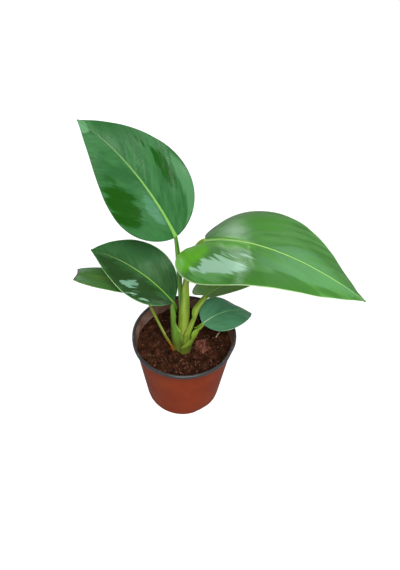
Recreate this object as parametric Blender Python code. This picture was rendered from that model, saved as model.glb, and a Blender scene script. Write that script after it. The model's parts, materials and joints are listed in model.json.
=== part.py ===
"""A young bird of paradise growing in a round nursery pot.

The pot stands on z = 0 with its axis on Z. +X is to the right of the fan of leaves and -Y is its front.
Six leaves grow from one root crown. Each leaf is a stalk, whose sheathing foot wraps the younger stalks
inside it, and a blade on the stalk's end. Lengths are in metres and angles in degrees.
"""

import math
from dataclasses import dataclass

import bmesh
import bpy
import numpy as np
from mathutils import Matrix, Vector, noise

MM = 0.001
GAP = 0.3 * MM  # clearance between pieces that touch

# --- Pot -------------------------------------------------------------------------------------------
POT_HEIGHT = 0.105
POT_RADIUS = 0.060  # to the outside of the rolled lip
POT_FOOT_RADIUS = 0.044  # outside of the wall where it meets the foot
POT_WALL = 0.8 * MM
LIP_HEIGHT = 4.6 * MM
LIP_OVERHANG = 2.8 * MM  # how far the lip stands out from the wall below it
LIP_ROUND = 1.0 * MM
FOOT_ROUND = 2.5 * MM
DRAIN_RADIUS = 4.0 * MM
DRAIN_COUNT = 6
DRAIN_CIRCLE = 0.028
POT_STEPS = 40

# --- Potting mix -----------------------------------------------------------------------------------
HEADSPACE = 0.018  # from the pot's top edge down to the mix
MIX_LUMP = 2.2 * MM  # height of the lumps in its surface
LUMP_WIDE, LUMP_FINE = 0.011, 0.0055  # how far apart the wide and the fine lumps stand
FINE_SHARE = 0.6  # height of the fine lumps against the wide ones
MIX_DIP, DIP_REACH = 2.0 * MM, 0.020  # the mix sinks this much, this far round the stalks
MIX_RINGS = 7

# --- Plant -----------------------------------------------------------------------------------------
FAN_X, FAN_Y = -0.003, -0.001  # the axis that the sheaths share
CROWN_DEPTH = 0.008  # the sheaths start this far below the mix's level
CROWN_LENGTH = 0.036
CROWN_SHAPE = ((0.0, 0.84), (0.25, 1.0), (0.55, 0.86), (0.82, 0.5), (1.0, 0.22))  # depth, radius
CROWN_OVERLAP = 0.6 * MM  # how far the crown's top reaches past the outermost sheaths
FAN_FLARE = 0.12  # growth of the sheath rings over FLARE_HEIGHT, as a share
FLARE_HEIGHT = 0.030
HEART_RADIUS = 0.9 * MM  # the space inside the youngest sheath
RING_GAP = 0.4 * MM  # between one ring of sheaths and the next
ROOT_RADIUS = 1.9 * MM
ROOT_TAPER = 0.45  # a root's radius at its tip, as a share
ROOT_COUNT = 5
ROOT_POINTS = 9
ROOT_WANDER = 0.20  # how far a root sways sideways, in radians about the crown
ROOT_WALL_CLEAR = 0.006  # between a root's tip and the pot's wall
ROOT_FLOOR_CLEAR = 0.019  # between a root's tip and the pot's floor
STALK_STEPS = 12
JOINT_GAP = 0.6 * MM  # between a stalk's end and its blade
LOOSE_CLASP_DEG = 58  # a sheath's half-angle while it draws together into a rod
CLOSING_START = 0.9  # how far a very narrow sheath is drawn together before its edges roll in
CLOSING_SPREAD_DEG = 130  # the wider a sheath is open, the sooner its edges roll in
CLOSING_LEAST = 0.1
ROD_CLASP_DEG = 150  # how far round a stalk's rod the rind goes; the rest is its groove
END_CLASP_DEG = 110  # the same where the groove opens into the blade
GROOVE_SHARE = 0.28  # the groove's radius against the stalk's
ROD_WALL_SHARE = 1.1  # the rod's wall against the stalk's radius
SHEATH_EDGE, ROD_EDGE = 0.35, 0.8  # a section's thickness at its two edges, as a share of its keel's
OUTER_POINTS = 9
INNER_POINTS = 7

BLADE_THICKNESS = 0.7 * MM

MIX_LEVEL = POT_HEIGHT - HEADSPACE
CROWN_TOP = MIX_LEVEL - CROWN_DEPTH
SHEATH_FOOT = CROWN_TOP + GAP


@dataclass(frozen=True)
class Half:
    """How one half of a blade is held: the angle at which it leaves the midrib, and how far it bends on
    the way to the margin, each at the base and at the tip."""

    lift: tuple
    curl: tuple


@dataclass(frozen=True)
class Leaf:
    """One leaf. The stalk's sheath is a ring round the fan's axis, open on the side away from its keel.
    Its blade_base is the fan's x and y, and the height above the mix."""

    name: str
    order: int  # the ring its sheath belongs to, 0 for the youngest
    keel_deg: float
    ring_wall: float
    clasp_deg: float
    sheath_height: float
    stalk_radius: float
    blade_base: tuple
    open_clasp_deg: float
    lean_deg: float
    stalk_reach: float
    end_rise_deg: float
    end_reach: float
    length: float
    half_width: float
    widest: float
    heading_deg: float
    swing_deg: float
    rise_deg: float
    droop_deg: float
    bank_deg: float
    twist_deg: float
    right: Half
    left: Half
    base_sweep_deg: float
    tip_sweep_deg: float
    tip_power: float
    vein_curve_deg: float = 6.0
    blunt_end: float = 0.0
    rows: int = 20
    hold: float = 1.0  # how much longer than its ring the sheath takes to draw together


LEAVES = (
    Leaf(
        name="tall",
        order=0,
        keel_deg=152,
        ring_wall=2.7 * MM,
        clasp_deg=150,
        open_clasp_deg=100,
        sheath_height=0.056,
        stalk_radius=2.1 * MM,
        blade_base=(-0.0110, 0.005, 0.168),
        lean_deg=5,
        stalk_reach=0.6,
        end_rise_deg=78,
        end_reach=0.6,
        length=0.147,
        half_width=0.046,
        widest=0.39,
        heading_deg=147,
        swing_deg=15,
        rise_deg=59,
        droop_deg=32,
        bank_deg=18,
        twist_deg=-3,
        base_sweep_deg=2,
        tip_sweep_deg=-9,
        tip_power=0.98,
        right=Half(lift=(14, 5), curl=(-10, -10)),
        left=Half(lift=(12, 6), curl=(-13, -8)),
    ),
    Leaf(
        name="arching",
        order=1,
        keel_deg=-28,
        ring_wall=3.6 * MM,
        clasp_deg=150,
        open_clasp_deg=100,
        sheath_height=0.058,
        stalk_radius=3.0 * MM,
        blade_base=(0.017, 0.000, 0.169),
        lean_deg=0,
        stalk_reach=1.3,
        end_rise_deg=46,
        end_reach=0.6,
        length=0.191,
        half_width=0.058,
        widest=0.31,
        heading_deg=-47,
        swing_deg=13,
        rise_deg=43,
        droop_deg=58,
        bank_deg=-34,
        twist_deg=46,
        base_sweep_deg=79,
        tip_sweep_deg=15,
        tip_power=0.99,
        right=Half(lift=(13, 1), curl=(-4, -8)),
        left=Half(lift=(-1, -9), curl=(-29, -26)),
        rows=24,
    ),
    Leaf(
        name="left",
        order=2,
        keel_deg=207,
        ring_wall=3.2 * MM,
        clasp_deg=60,
        open_clasp_deg=60,
        sheath_height=0.036,
        stalk_radius=2.2 * MM,
        blade_base=(-0.0128, -0.006, 0.081),
        lean_deg=32,
        stalk_reach=0.8,
        end_rise_deg=84,
        end_reach=0.6,
        length=0.1055,
        half_width=0.0336,
        widest=0.43,
        heading_deg=153,
        swing_deg=20,
        rise_deg=43,
        droop_deg=34,
        bank_deg=13,
        twist_deg=-3,
        base_sweep_deg=0,
        tip_sweep_deg=1,
        tip_power=0.98,
        right=Half(lift=(19, 7), curl=(-5, -7)),
        left=Half(lift=(17, 8), curl=(-8, -5)),
        rows=18,
        hold=1.35,
    ),
    Leaf(
        name="shaded",
        order=2,
        keel_deg=-30,
        ring_wall=3.2 * MM,
        clasp_deg=58,
        open_clasp_deg=44,
        sheath_height=0.030,
        stalk_radius=2.8 * MM,
        blade_base=(0.0215, 0.006, 0.080),
        lean_deg=20,
        stalk_reach=0.9,
        end_rise_deg=50,
        end_reach=0.5,
        length=0.088,
        half_width=0.031,
        widest=0.38,
        heading_deg=44,
        swing_deg=-9,
        rise_deg=0,
        droop_deg=11,
        bank_deg=23,
        twist_deg=-10,
        base_sweep_deg=44,
        tip_sweep_deg=4,
        tip_power=0.6,
        right=Half(lift=(16, 5), curl=(2, -15)),
        left=Half(lift=(5, 5), curl=(-14, -8)),
        rows=16,
        hold=2.1,
    ),
    Leaf(
        name="aged",
        order=3,
        keel_deg=204,
        ring_wall=2.2 * MM,
        clasp_deg=24,
        open_clasp_deg=24,
        sheath_height=0.002,
        stalk_radius=2.3 * MM,
        blade_base=(-0.047, 0.010, 0.083),
        lean_deg=26,
        stalk_reach=0.9,
        end_rise_deg=64,
        end_reach=0.7,
        length=0.0726,
        half_width=0.0207,
        widest=0.39,
        heading_deg=175,
        swing_deg=2,
        rise_deg=18,
        droop_deg=17,
        bank_deg=-13,
        twist_deg=-8,
        base_sweep_deg=5,
        tip_sweep_deg=8,
        tip_power=0.59,
        right=Half(lift=(12, 7), curl=(-15, -15)),
        left=Half(lift=(12, 0), curl=(-14, -22)),
        blunt_end=0.12,
        rows=14,
        hold=3.6,
    ),
    Leaf(
        name="small",
        order=3,
        keel_deg=-44,
        ring_wall=2.0 * MM,
        clasp_deg=50,
        open_clasp_deg=48,
        sheath_height=0.010,
        stalk_radius=2.2 * MM,
        blade_base=(0.021, -0.006, 0.046),
        lean_deg=40,
        stalk_reach=0.9,
        end_rise_deg=40,
        end_reach=0.5,
        length=0.064,
        half_width=0.0268,
        widest=0.43,
        heading_deg=35,
        swing_deg=-25,
        rise_deg=27,
        droop_deg=68,
        bank_deg=-5,
        twist_deg=25,
        base_sweep_deg=6,
        tip_sweep_deg=0,
        tip_power=0.9,
        right=Half(lift=(11, 3), curl=(-21, -12)),
        left=Half(lift=(17, -5), curl=(-8, -29)),
        rows=14,
        hold=1.5,
    ),
)

CLODS = (  # name, place on the mix, size, seed
    ("clod_large", (0.0215, -0.004), 8.4 * MM, 3),
    ("clod_beside", (0.0140, -0.0170), 4.6 * MM, 7),
    ("clod_right", (0.0370, -0.016), 4.6 * MM, 12),
    ("clod_front", (-0.008, -0.034), 4.2 * MM, 19),
    ("clod_left", (-0.030, -0.014), 4.4 * MM, 23),
)
CLOD_BULGE, CLOD_ROUGH = 0.30, 0.12  # wide and small bumps, as shares of the size
CLOD_FLAT = 0.75  # height against width
CLOD_RISE = 0.25  # how far a clod's middle stands above the mix, as a share of its size
STRAW_PLACE = (0.0395, 0.0135)
STRAW_LENGTH = 0.0095
STRAW_RADIUS = 0.6 * MM
STRAW_TURN_DEG = 62

COLOURS = {  # colour, roughness
    "pot": ((0.33, 0.08, 0.035), 0.45),
    "mix": ((0.045, 0.022, 0.014), 0.95),
    "clod": ((0.12, 0.05, 0.032), 0.95),
    "straw": ((0.5, 0.38, 0.24), 0.8),
    "blade": ((0.03, 0.15, 0.04), 0.3),
    "young_blade": ((0.09, 0.27, 0.04), 0.3),
    "stalk": ((0.16, 0.31, 0.05), 0.4),
    "aged_stalk": ((0.35, 0.33, 0.05), 0.5),
    "root": ((0.55, 0.42, 0.26), 0.7),
}


# --- Small helpers -----------------------------------------------------------------------------------
def material(kind):
    """The plain material of that kind, made once."""
    found = bpy.data.materials.get(kind)
    if found:
        return found
    colour, roughness = COLOURS[kind]
    made = bpy.data.materials.new(kind)
    made.use_nodes = True
    shader = made.node_tree.nodes["Principled BSDF"]
    shader.inputs["Base Color"].default_value = (*colour, 1)
    shader.inputs["Roughness"].default_value = roughness
    shader.inputs["Metallic"].default_value = 0.0
    return made


def add_object(name, mesh, kind, smooth=True):
    """Links a mesh into the scene as a named object."""
    made = bpy.data.objects.new(name, mesh)
    bpy.context.scene.collection.objects.link(made)
    if kind:
        mesh.materials.append(material(kind))
    if smooth:
        mesh.shade_smooth()
        mesh.set_sharp_from_angle(angle=math.radians(40))
    return made


def mesh_of(bm, name):
    bmesh.ops.recalc_face_normals(bm, faces=bm.faces)
    mesh = bpy.data.meshes.new(name)
    bm.to_mesh(mesh)
    bm.free()
    return mesh


def as_cutter(made):
    """Marks an object as a helper that only cuts others."""
    made.hide_render = True
    made.display_type = "WIRE"
    return made


def cut(made, cutter):
    step = made.modifiers.new("cut_" + cutter.name, "BOOLEAN")
    step.operation = "DIFFERENCE"
    step.object = cutter


def turned(name, profile, steps, kind):
    """A solid of revolution about Z from (radius, height) points, with flat faces across its two ends."""
    bm = bmesh.new()
    turns = [2 * math.pi * i / steps for i in range(steps)]
    loops = []
    for radius, height in profile:
        loops.append([bm.verts.new((radius * math.cos(a), radius * math.sin(a), height)) for a in turns])
    for below, above in zip(loops, loops[1:]):
        join_loops(bm, below, above)
    bm.faces.new(loops[0][::-1])
    bm.faces.new(loops[-1])
    return add_object(name, mesh_of(bm, name), kind)


def join_loops(bm, below, above):
    """Faces between two rings of points, either of which may be a single point."""
    if len(below) == 1 and len(above) == 1:
        return
    count = max(len(below), len(above))
    for i in range(count):
        j = (i + 1) % count
        if len(below) == 1:
            bm.faces.new((below[0], above[j], above[i]))
        elif len(above) == 1:
            bm.faces.new((below[i], below[j], above[0]))
        else:
            bm.faces.new((below[i], below[j], above[j], above[i]))


def smooth_step(value):
    value = min(max(value, 0.0), 1.0)
    return value * value * (3 - 2 * value)


def mixed(a, b, share):
    return a + (b - a) * share


# --- Pot ---------------------------------------------------------------------------------------------
def wall_radius(height):
    """The outside of the pot's wall at that height."""
    top = POT_RADIUS - LIP_OVERHANG
    return mixed(POT_FOOT_RADIUS, top, height / (POT_HEIGHT - LIP_HEIGHT))


def inside_radius(height):
    return wall_radius(height) - POT_WALL


def arc(centre, radius, start_deg, end_deg, steps=4):
    """Points on an arc in the profile plane."""
    angles = np.radians(np.linspace(start_deg, end_deg, steps))
    return [(centre[0] + radius * math.cos(a), centre[1] + radius * math.sin(a)) for a in angles]


def build_pot():
    """The thin formed pot: flat floor with drain holes, tapered wall and rolled lip."""
    lip_bottom = POT_HEIGHT - LIP_HEIGHT
    lip_centre = POT_RADIUS - LIP_ROUND
    lip_inside = inside_radius(POT_HEIGHT) + LIP_ROUND
    corner = (POT_FOOT_RADIUS - FOOT_ROUND, FOOT_ROUND)
    outside = arc(corner, FOOT_ROUND, -90, 0)
    lip = [(wall_radius(lip_bottom), lip_bottom)]
    lip += arc((lip_centre, lip_bottom + LIP_ROUND), LIP_ROUND, -90, 0)
    lip += arc((lip_centre, POT_HEIGHT - LIP_ROUND), LIP_ROUND, 0, 90)
    lip += arc((lip_inside, POT_HEIGHT - LIP_ROUND), LIP_ROUND, 90, 180)
    inside = arc(corner, FOOT_ROUND - POT_WALL, 0, -90)
    pot = turned("pot", [*outside, *lip, *inside], POT_STEPS, "pot")
    for index in range(DRAIN_COUNT):
        angle = 2 * math.pi * (index + 0.5) / DRAIN_COUNT
        bm = bmesh.new()
        bmesh.ops.create_cone(
            bm,
            cap_ends=True,
            segments=16,
            radius1=DRAIN_RADIUS,
            radius2=DRAIN_RADIUS,
            depth=6 * POT_WALL,
            matrix=Matrix.Translation((DRAIN_CIRCLE * math.cos(angle), DRAIN_CIRCLE * math.sin(angle), 0)),
        )
        cutter = add_object(f"drain_cutter_{index}", mesh_of(bm, "drain_cutter"), None, smooth=False)
        cut(pot, as_cutter(cutter))
    return pot


# --- Potting mix -------------------------------------------------------------------------------------
def mix_height(x, y):
    """The lumpy top of the potting mix: lower round the stalks, and a little higher towards the wall."""
    away = math.hypot(x - FAN_X, y - FAN_Y)
    dip = MIX_DIP * math.exp(-((away / DIP_REACH) ** 2))
    lumps = noise.noise(Vector((x, y, 0.0)) / LUMP_WIDE)
    lumps += FINE_SHARE * noise.noise(Vector((x, y, 0.03)) / LUMP_FINE)
    return MIX_LEVEL - dip + MIX_LUMP * lumps


def build_mix(fillers):
    """The potting mix fills the pot to HEADSPACE below its edge, and is hollowed by what is planted in it."""
    bm = bmesh.new()
    edge = inside_radius(MIX_LEVEL) - GAP
    sides = [
        (edge, None),
        (inside_radius(MIX_LEVEL / 2) - GAP, MIX_LEVEL / 2),
        (inside_radius(FOOT_ROUND) - GAP, FOOT_ROUND + GAP),
        (POT_FOOT_RADIUS - FOOT_ROUND - GAP, POT_WALL + GAP),
    ]
    angles = [2 * math.pi * i / POT_STEPS for i in range(POT_STEPS)]
    loops = [[bm.verts.new((0, 0, mix_height(0, 0)))]]
    for index in range(1, MIX_RINGS):
        radius = edge * index / MIX_RINGS
        spots = [(radius * math.cos(a), radius * math.sin(a)) for a in angles]
        loops.append([bm.verts.new((x, y, mix_height(x, y))) for x, y in spots])
    for radius, height in sides:
        spots = [(radius * math.cos(a), radius * math.sin(a)) for a in angles]
        loops.append([bm.verts.new((x, y, mix_height(x, y) if height is None else height)) for x, y in spots])
    loops.append([bm.verts.new((0, 0, POT_WALL + GAP))])
    for above, below in zip(loops, loops[1:]):
        join_loops(bm, above, below)
    mix = add_object("potting_mix", mesh_of(bm, "potting_mix"), "mix")
    for cutter in fillers:
        cut(mix, cutter)
    return mix


def lump_mesh(name, size, seed, grow=0.0):
    """A rough rounded lump, GROW larger all round."""
    bm = bmesh.new()
    bmesh.ops.create_icosphere(bm, subdivisions=2, radius=1.0)
    for vert in bm.verts:
        way = vert.co.normalized()
        rough = 1 + CLOD_BULGE * noise.noise(way * 1.3 + Vector((seed, 0, 0)))
        rough += CLOD_ROUGH * noise.noise(way * 3.1 + Vector((0, seed, 0)))
        vert.co = Vector((way.x, way.y, way.z * CLOD_FLAT)) * (size * rough + grow)
    return mesh_of(bm, name)


def build_clods():
    """Loose clods half sunk in the mix. Returns the cutters that hollow the mix for them."""
    cutters = []
    for name, (x, y), size, seed in CLODS:
        spot = (x, y, mix_height(x, y) + CLOD_RISE * size)
        clod = add_object(name, lump_mesh(name, size, seed), "clod")
        clod.location = spot
        hollow = add_object(name + "_hollow", lump_mesh(name + "_hollow", size, seed, 1.6 * GAP), None)
        hollow.location = spot
        cutters.append(as_cutter(hollow))
    return cutters


def build_straw():
    """A short pale straw lying on the mix."""
    x, y = STRAW_PLACE
    turn = math.radians(STRAW_TURN_DEG)
    half = Vector((math.cos(turn), math.sin(turn), 0)) * (STRAW_LENGTH / 2)
    ends = [Vector((x, y, 0)) - half, Vector((x, y, 0)) + half]
    under = max(mix_height(*mixed(ends[0], ends[1], i / 20).xy) for i in range(21))
    lift = under + STRAW_RADIUS + 2 * GAP
    points = [(end.x, end.y, lift) for end in (ends[0], (ends[0] + ends[1]) / 2, ends[1])]
    return tube("straw", points, [STRAW_RADIUS] * 3, "straw", resolution=1)


# --- Plant -------------------------------------------------------------------------------------------
def tube(name, points, radii, kind, resolution=2):
    """A round rod along a poly spline, with its own radius at each point."""
    curve = bpy.data.curves.new(name, "CURVE")
    curve.dimensions = "3D"
    curve.bevel_depth = 1.0
    curve.bevel_resolution = resolution
    curve.use_fill_caps = True
    spline = curve.splines.new("POLY")
    spline.points.add(len(points) - 1)
    for point, place, radius in zip(spline.points, points, radii):
        point.co = (*place, 1)
        point.radius = radius
    made = bpy.data.objects.new(name, curve)
    bpy.context.scene.collection.objects.link(made)
    if kind:
        curve.materials.append(material(kind))
    return made


def crown_radius():
    """The crown's widest radius: its top stands a little past the outermost sheaths."""
    return (ring_outer(max(leaf.order for leaf in LEAVES)) + CROWN_OVERLAP) / CROWN_SHAPE[0][1]


def crown_profile(grow=0.0):
    """The short turnip-shaped crown that the sheaths stand on, GROW larger all round."""
    radius = crown_radius()
    profile = [(radius * share + grow, CROWN_TOP - CROWN_LENGTH * deep) for deep, share in CROWN_SHAPE]
    profile[0] = (profile[0][0], CROWN_TOP + grow)
    profile[-1] = (profile[-1][0], CROWN_TOP - CROWN_LENGTH - grow)
    return profile[::-1]


def root_path(index):
    """Points of one fleshy root, from the crown's side out and down through the mix."""
    turn = 2 * math.pi * (index + 0.3) / ROOT_COUNT
    high = CROWN_TOP - CROWN_LENGTH * (0.34 + 0.10 * (index % 3))
    low = POT_WALL + ROOT_FLOOR_CLEAR + 2 * ROOT_RADIUS * (index % 2)
    near = crown_radius() + 1.6 * GAP + ROOT_RADIUS * 0.2
    far = inside_radius(low) - math.hypot(FAN_X, FAN_Y) - ROOT_WALL_CLEAR
    points = []
    for step in range(ROOT_POINTS):
        share = step / (ROOT_POINTS - 1)
        out = mixed(near, far, 1 - (1 - share) ** 2)
        sway = turn + ROOT_WANDER * math.sin(2.6 * math.pi * share + index)
        height = mixed(high, low, share**1.4)
        points.append((FAN_X + out * math.cos(sway), FAN_Y + out * math.sin(sway), height))
    return points


def build_roots():
    """The root crown and its fleshy roots. Returns the cutters that hollow the mix for them."""
    crown = turned("root_crown", crown_profile(), 24, "root")
    crown.location = (FAN_X, FAN_Y, 0)
    hollow = turned("crown_hollow", crown_profile(GAP), 24, None)
    hollow.location = (FAN_X, FAN_Y, 0)
    cutters = [as_cutter(hollow)]
    radii = [ROOT_RADIUS * mixed(1.0, ROOT_TAPER, step / (ROOT_POINTS - 1)) for step in range(ROOT_POINTS)]
    for index in range(ROOT_COUNT):
        points = root_path(index)
        tube(f"root_{index + 1}", points, radii, "root")
        inward = Vector((FAN_X, FAN_Y, points[0][2])) - Vector(points[0])
        outward = (Vector(points[-1]) - Vector(points[-2])).normalized()
        channel = [Vector(points[0]) + inward.normalized() * 3 * MM, *points, Vector(points[-1]) + outward * GAP]
        wide = [radii[0] + GAP, *(radius + GAP for radius in radii), radii[-1] + GAP]
        solid = tube(f"root_channel_{index + 1}", channel, wide, None)
        graph = bpy.context.evaluated_depsgraph_get()
        mesh = bpy.data.meshes.new_from_object(solid.evaluated_get(graph))
        bpy.data.objects.remove(solid)
        bm = bmesh.new()
        bm.from_mesh(mesh)
        bmesh.ops.remove_doubles(bm, verts=bm.verts, dist=0.001 * MM)
        cutters.append(as_cutter(add_object(f"root_channel_{index + 1}", mesh_of(bm, "root_channel"), None)))
    return cutters


def ring_inner(order):
    """The inner radius of a ring of sheaths: each stands a gap outside the thickest of the ring within."""
    return HEART_RADIUS if order == 0 else ring_outer(order - 1) + RING_GAP


def ring_outer(order):
    """The outer radius of a ring of sheaths."""
    return ring_inner(order) + max(leaf.ring_wall for leaf in LEAVES if leaf.order == order)


def neck_radius():
    """The widest ring of sheaths where they pass through the mix's surface."""
    return ring_outer(max(leaf.order for leaf in LEAVES)) * fan_scale(MIX_LEVEL + 2 * MIX_LUMP)


def fan_scale(height):
    """The sheath rings widen together above the mix."""
    return 1 + FAN_FLARE * smooth_step((height - MIX_LEVEL) / FLARE_HEIGHT)


def build_neck_cutter():
    """The round hole in the mix that the sheaths grow up through."""
    radius = neck_radius() + GAP
    low, high = CROWN_TOP - GAP, MIX_LEVEL + 4 * MIX_LUMP
    neck = turned("neck_hollow", [(radius, low), (radius, high)], 24, None)
    neck.location = (FAN_X, FAN_Y, 0)
    return as_cutter(neck)


def heading(azimuth_deg, elevation_deg):
    a, e = math.radians(azimuth_deg), math.radians(elevation_deg)
    return np.array([math.cos(a) * math.cos(e), math.sin(a) * math.cos(e), math.sin(e)])


def unit(vector):
    return vector / np.linalg.norm(vector)


def blade_base(leaf):
    """Where the blade starts. Its height is counted from the mix, so that the plant rises with it."""
    x, y, above = leaf.blade_base
    return np.array([x, y, MIX_LEVEL + above])


def blade_frames(leaf, shares):
    """The midrib's point, direction, right-hand side and upper normal at each share of its length."""
    fine = np.linspace(0, 1, 161)
    ways = np.array(
        [heading(leaf.heading_deg + leaf.swing_deg * s, leaf.rise_deg - leaf.droop_deg * s**1.15) for s in fine]
    )
    steps = (ways[1:] + ways[:-1]) / 2 * (leaf.length / (len(fine) - 1))
    line = np.vstack([np.zeros(3), np.cumsum(steps, axis=0)]) + blade_base(leaf)
    frames = []
    for s in shares:
        point = np.array([np.interp(s, fine, line[:, k]) for k in range(3)])
        way = heading(leaf.heading_deg + leaf.swing_deg * s, leaf.rise_deg - leaf.droop_deg * s**1.15)
        level = unit(np.cross(way, (0, 0, 1)))
        roll = math.radians(leaf.bank_deg + leaf.twist_deg * s)
        side = level * math.cos(roll) + np.cross(level, way) * math.sin(roll)
        frames.append((point, way, side, np.cross(side, way)))
    return frames


def half_length(leaf, s):
    """The length of a row of veins from the midrib to the margin."""
    at = min(max(s + 0.004, 0.0), 1.0)
    tip = leaf.tip_power
    base = tip * leaf.widest / (1 - leaf.widest)
    peak = leaf.widest**base * (1 - leaf.widest) ** tip
    shape = at**base * (1 - min(s * (1 - leaf.blunt_end), 0.997)) ** tip / peak
    return max(leaf.half_width * shape, 0.8 * MM)


def half_row(leaf, s, frame, half, side_sign, distances):
    """Points along one row of veins, from the midrib towards the margin."""
    point, way, side, normal = frame
    reach = half_length(leaf, s)
    fine = np.linspace(0, 1, 25)
    lift = math.radians(mixed(half.lift[0], half.lift[1], s))
    curl = math.radians(mixed(half.curl[0], half.curl[1], s))
    tilt = lift + curl * fine
    clear = np.minimum(fine * reach / (3 * leaf.stalk_radius), 1.0)
    back = leaf.base_sweep_deg * (1 - s) ** 3 * clear * clear * (3 - 2 * clear)
    sweep = np.radians(leaf.tip_sweep_deg * s - back + leaf.vein_curve_deg * fine)
    across = np.outer(np.cos(tilt) * np.cos(sweep), side * side_sign)
    along = np.outer(np.cos(tilt) * np.sin(sweep), way)
    up = np.outer(np.sin(tilt), normal)
    ways = across + along + up
    steps = (ways[1:] + ways[:-1]) / 2 * (reach / (len(fine) - 1))
    line = np.vstack([np.zeros(3), np.cumsum(steps, axis=0)]) + point
    return [np.array([np.interp(d / reach, fine, line[:, k]) for k in range(3)]) for d in distances]


def rib_half_width(leaf, s):
    return mixed(leaf.stalk_radius * 0.75, 0.5 * MM, s**0.7)


def build_blade(leaf):
    """The blade: one curved sheet, thick along the midrib's underside and thin to its margins."""
    shares = np.linspace(0, 1, leaf.rows) ** 1.25
    frames = blade_frames(leaf, shares)
    steps_out = (0.0, 0.25, 0.52, 0.78, 1.0)
    bm = bmesh.new()
    deform = bm.verts.layers.deform.verify()
    thickest = leaf.stalk_radius * 1.05
    rows = []
    for s, frame in zip(shares, frames):
        reach = half_length(leaf, s)
        rib = min(rib_half_width(leaf, s), 0.45 * reach)
        distances = [rib + (reach - rib) * share for share in steps_out]
        right = half_row(leaf, s, frame, leaf.right, 1, distances)
        left = half_row(leaf, s, frame, leaf.left, -1, distances)
        row = []
        for place in [*left[::-1], frame[0], *right]:
            vert = bm.verts.new(place)
            vert[deform][0] = BLADE_THICKNESS / thickest
            row.append(vert)
        middle = row[len(steps_out)]
        middle[deform][0] = mixed(1.0, BLADE_THICKNESS / thickest, s**0.8)
        rows.append(row)
    for near, far in zip(rows, rows[1:]):
        for i in range(len(near) - 1):
            bm.faces.new((near[i], near[i + 1], far[i + 1], far[i]))
    mesh = bpy.data.meshes.new("blade_" + leaf.name)
    bm.to_mesh(mesh)
    bm.free()
    kind = "young_blade" if leaf.name == "arching" else "blade"
    blade = add_object("blade_" + leaf.name, mesh, kind, smooth=False)
    mesh.shade_smooth()
    blade.vertex_groups.new(name="thickness")
    solid = blade.modifiers.new("sheet", "SOLIDIFY")
    solid.thickness = thickest
    solid.offset = -1.0
    solid.vertex_group = "thickness"
    return blade


def sheath_heights(release):
    """The heights of a sheath's sections. All sheaths share them, so that the nested rings flare alike."""
    flare = [MIX_LEVEL + FLARE_HEIGHT * i / 5 for i in range(6)]
    low = [SHEATH_FOOT] + [height for height in flare if height < release - 1 * MM]
    return low + list(np.linspace(low[-1], release, 4)[1:-1])


def stalk_line(leaf):
    """The centre of the stalk's section from the crown to the blade, as (point, direction, share). The
    share is 0 where the sheath lets go of the fan, and 1 at the blade."""
    release = MIX_LEVEL + leaf.sheath_height
    upright = np.array([0, 0, 1.0])
    blade_way = heading(leaf.heading_deg, leaf.rise_deg)
    start = np.array([FAN_X, FAN_Y, release])
    end = blade_base(leaf) - blade_way * JOINT_GAP
    span = np.linalg.norm(end - start)
    aside = math.degrees(math.atan2(end[1] - start[1], end[0] - start[0]))
    start_pull = heading(aside, 90 - leaf.lean_deg) * span * leaf.stalk_reach
    end_pull = heading(leaf.heading_deg, leaf.end_rise_deg) * span * leaf.end_reach
    line = [(np.array([FAN_X, FAN_Y, height]), upright, 0.0) for height in sheath_heights(release)]
    for t in np.linspace(0, 1, STALK_STEPS):
        a, b, c, d = 2 * t**3 - 3 * t**2 + 1, t**3 - 2 * t**2 + t, -2 * t**3 + 3 * t**2, t**3 - t**2
        point = a * start + b * start_pull + c * end + d * end_pull
        slope = (6 * t**2 - 6 * t) * (start - end)
        slope = unit(slope + (3 * t**2 - 4 * t + 1) * start_pull + (3 * t**2 - 2 * t) * end_pull)
        way = unit(mixed(upright, slope, smooth_step(t / 0.3)))
        way = unit(mixed(way, blade_way, smooth_step((t - 0.7) / 0.3)))
        line.append((point, way, t))
    return line


def section_shape(leaf, point, share):
    """The half-angle that the section spans, its inner radius and its wall at that place. The further it
    is from the fan's axis, the more the sheath has drawn together into a grooved rod."""
    scale = fan_scale(point[2])
    ring = ring_inner(leaf.order) * scale
    groove = leaf.stalk_radius * GROOVE_SHARE
    away = math.hypot(point[0] - FAN_X, point[1] - FAN_Y)
    drawn = min(away / (leaf.hold * max(ring - groove, 0.5 * MM)), 1.0)
    if ring < 2 * leaf.stalk_radius:
        drawn = max(drawn, smooth_step(share / 0.7))
    climb = (point[2] - SHEATH_FOOT) / (MIX_LEVEL + leaf.sheath_height - SHEATH_FOOT)
    clasp = mixed(leaf.clasp_deg, leaf.open_clasp_deg, smooth_step(climb))
    clasp = mixed(clasp, min(clasp, LOOSE_CLASP_DEG), smooth_step(drawn / 0.7))
    closing = max(CLOSING_START - leaf.open_clasp_deg / CLOSING_SPREAD_DEG, CLOSING_LEAST)
    clasp = mixed(clasp, ROD_CLASP_DEG, smooth_step((drawn - closing) / (1 - closing)))
    clasp = mixed(clasp, END_CLASP_DEG, smooth_step((share - 0.85) / 0.15))
    wall = mixed(leaf.ring_wall * scale, ROD_WALL_SHARE * leaf.stalk_radius, smooth_step(drawn))
    wall *= mixed(1.0, 0.7, smooth_step((share - 0.6) / 0.4))
    return clasp, mixed(ring, groove, drawn), wall


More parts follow.
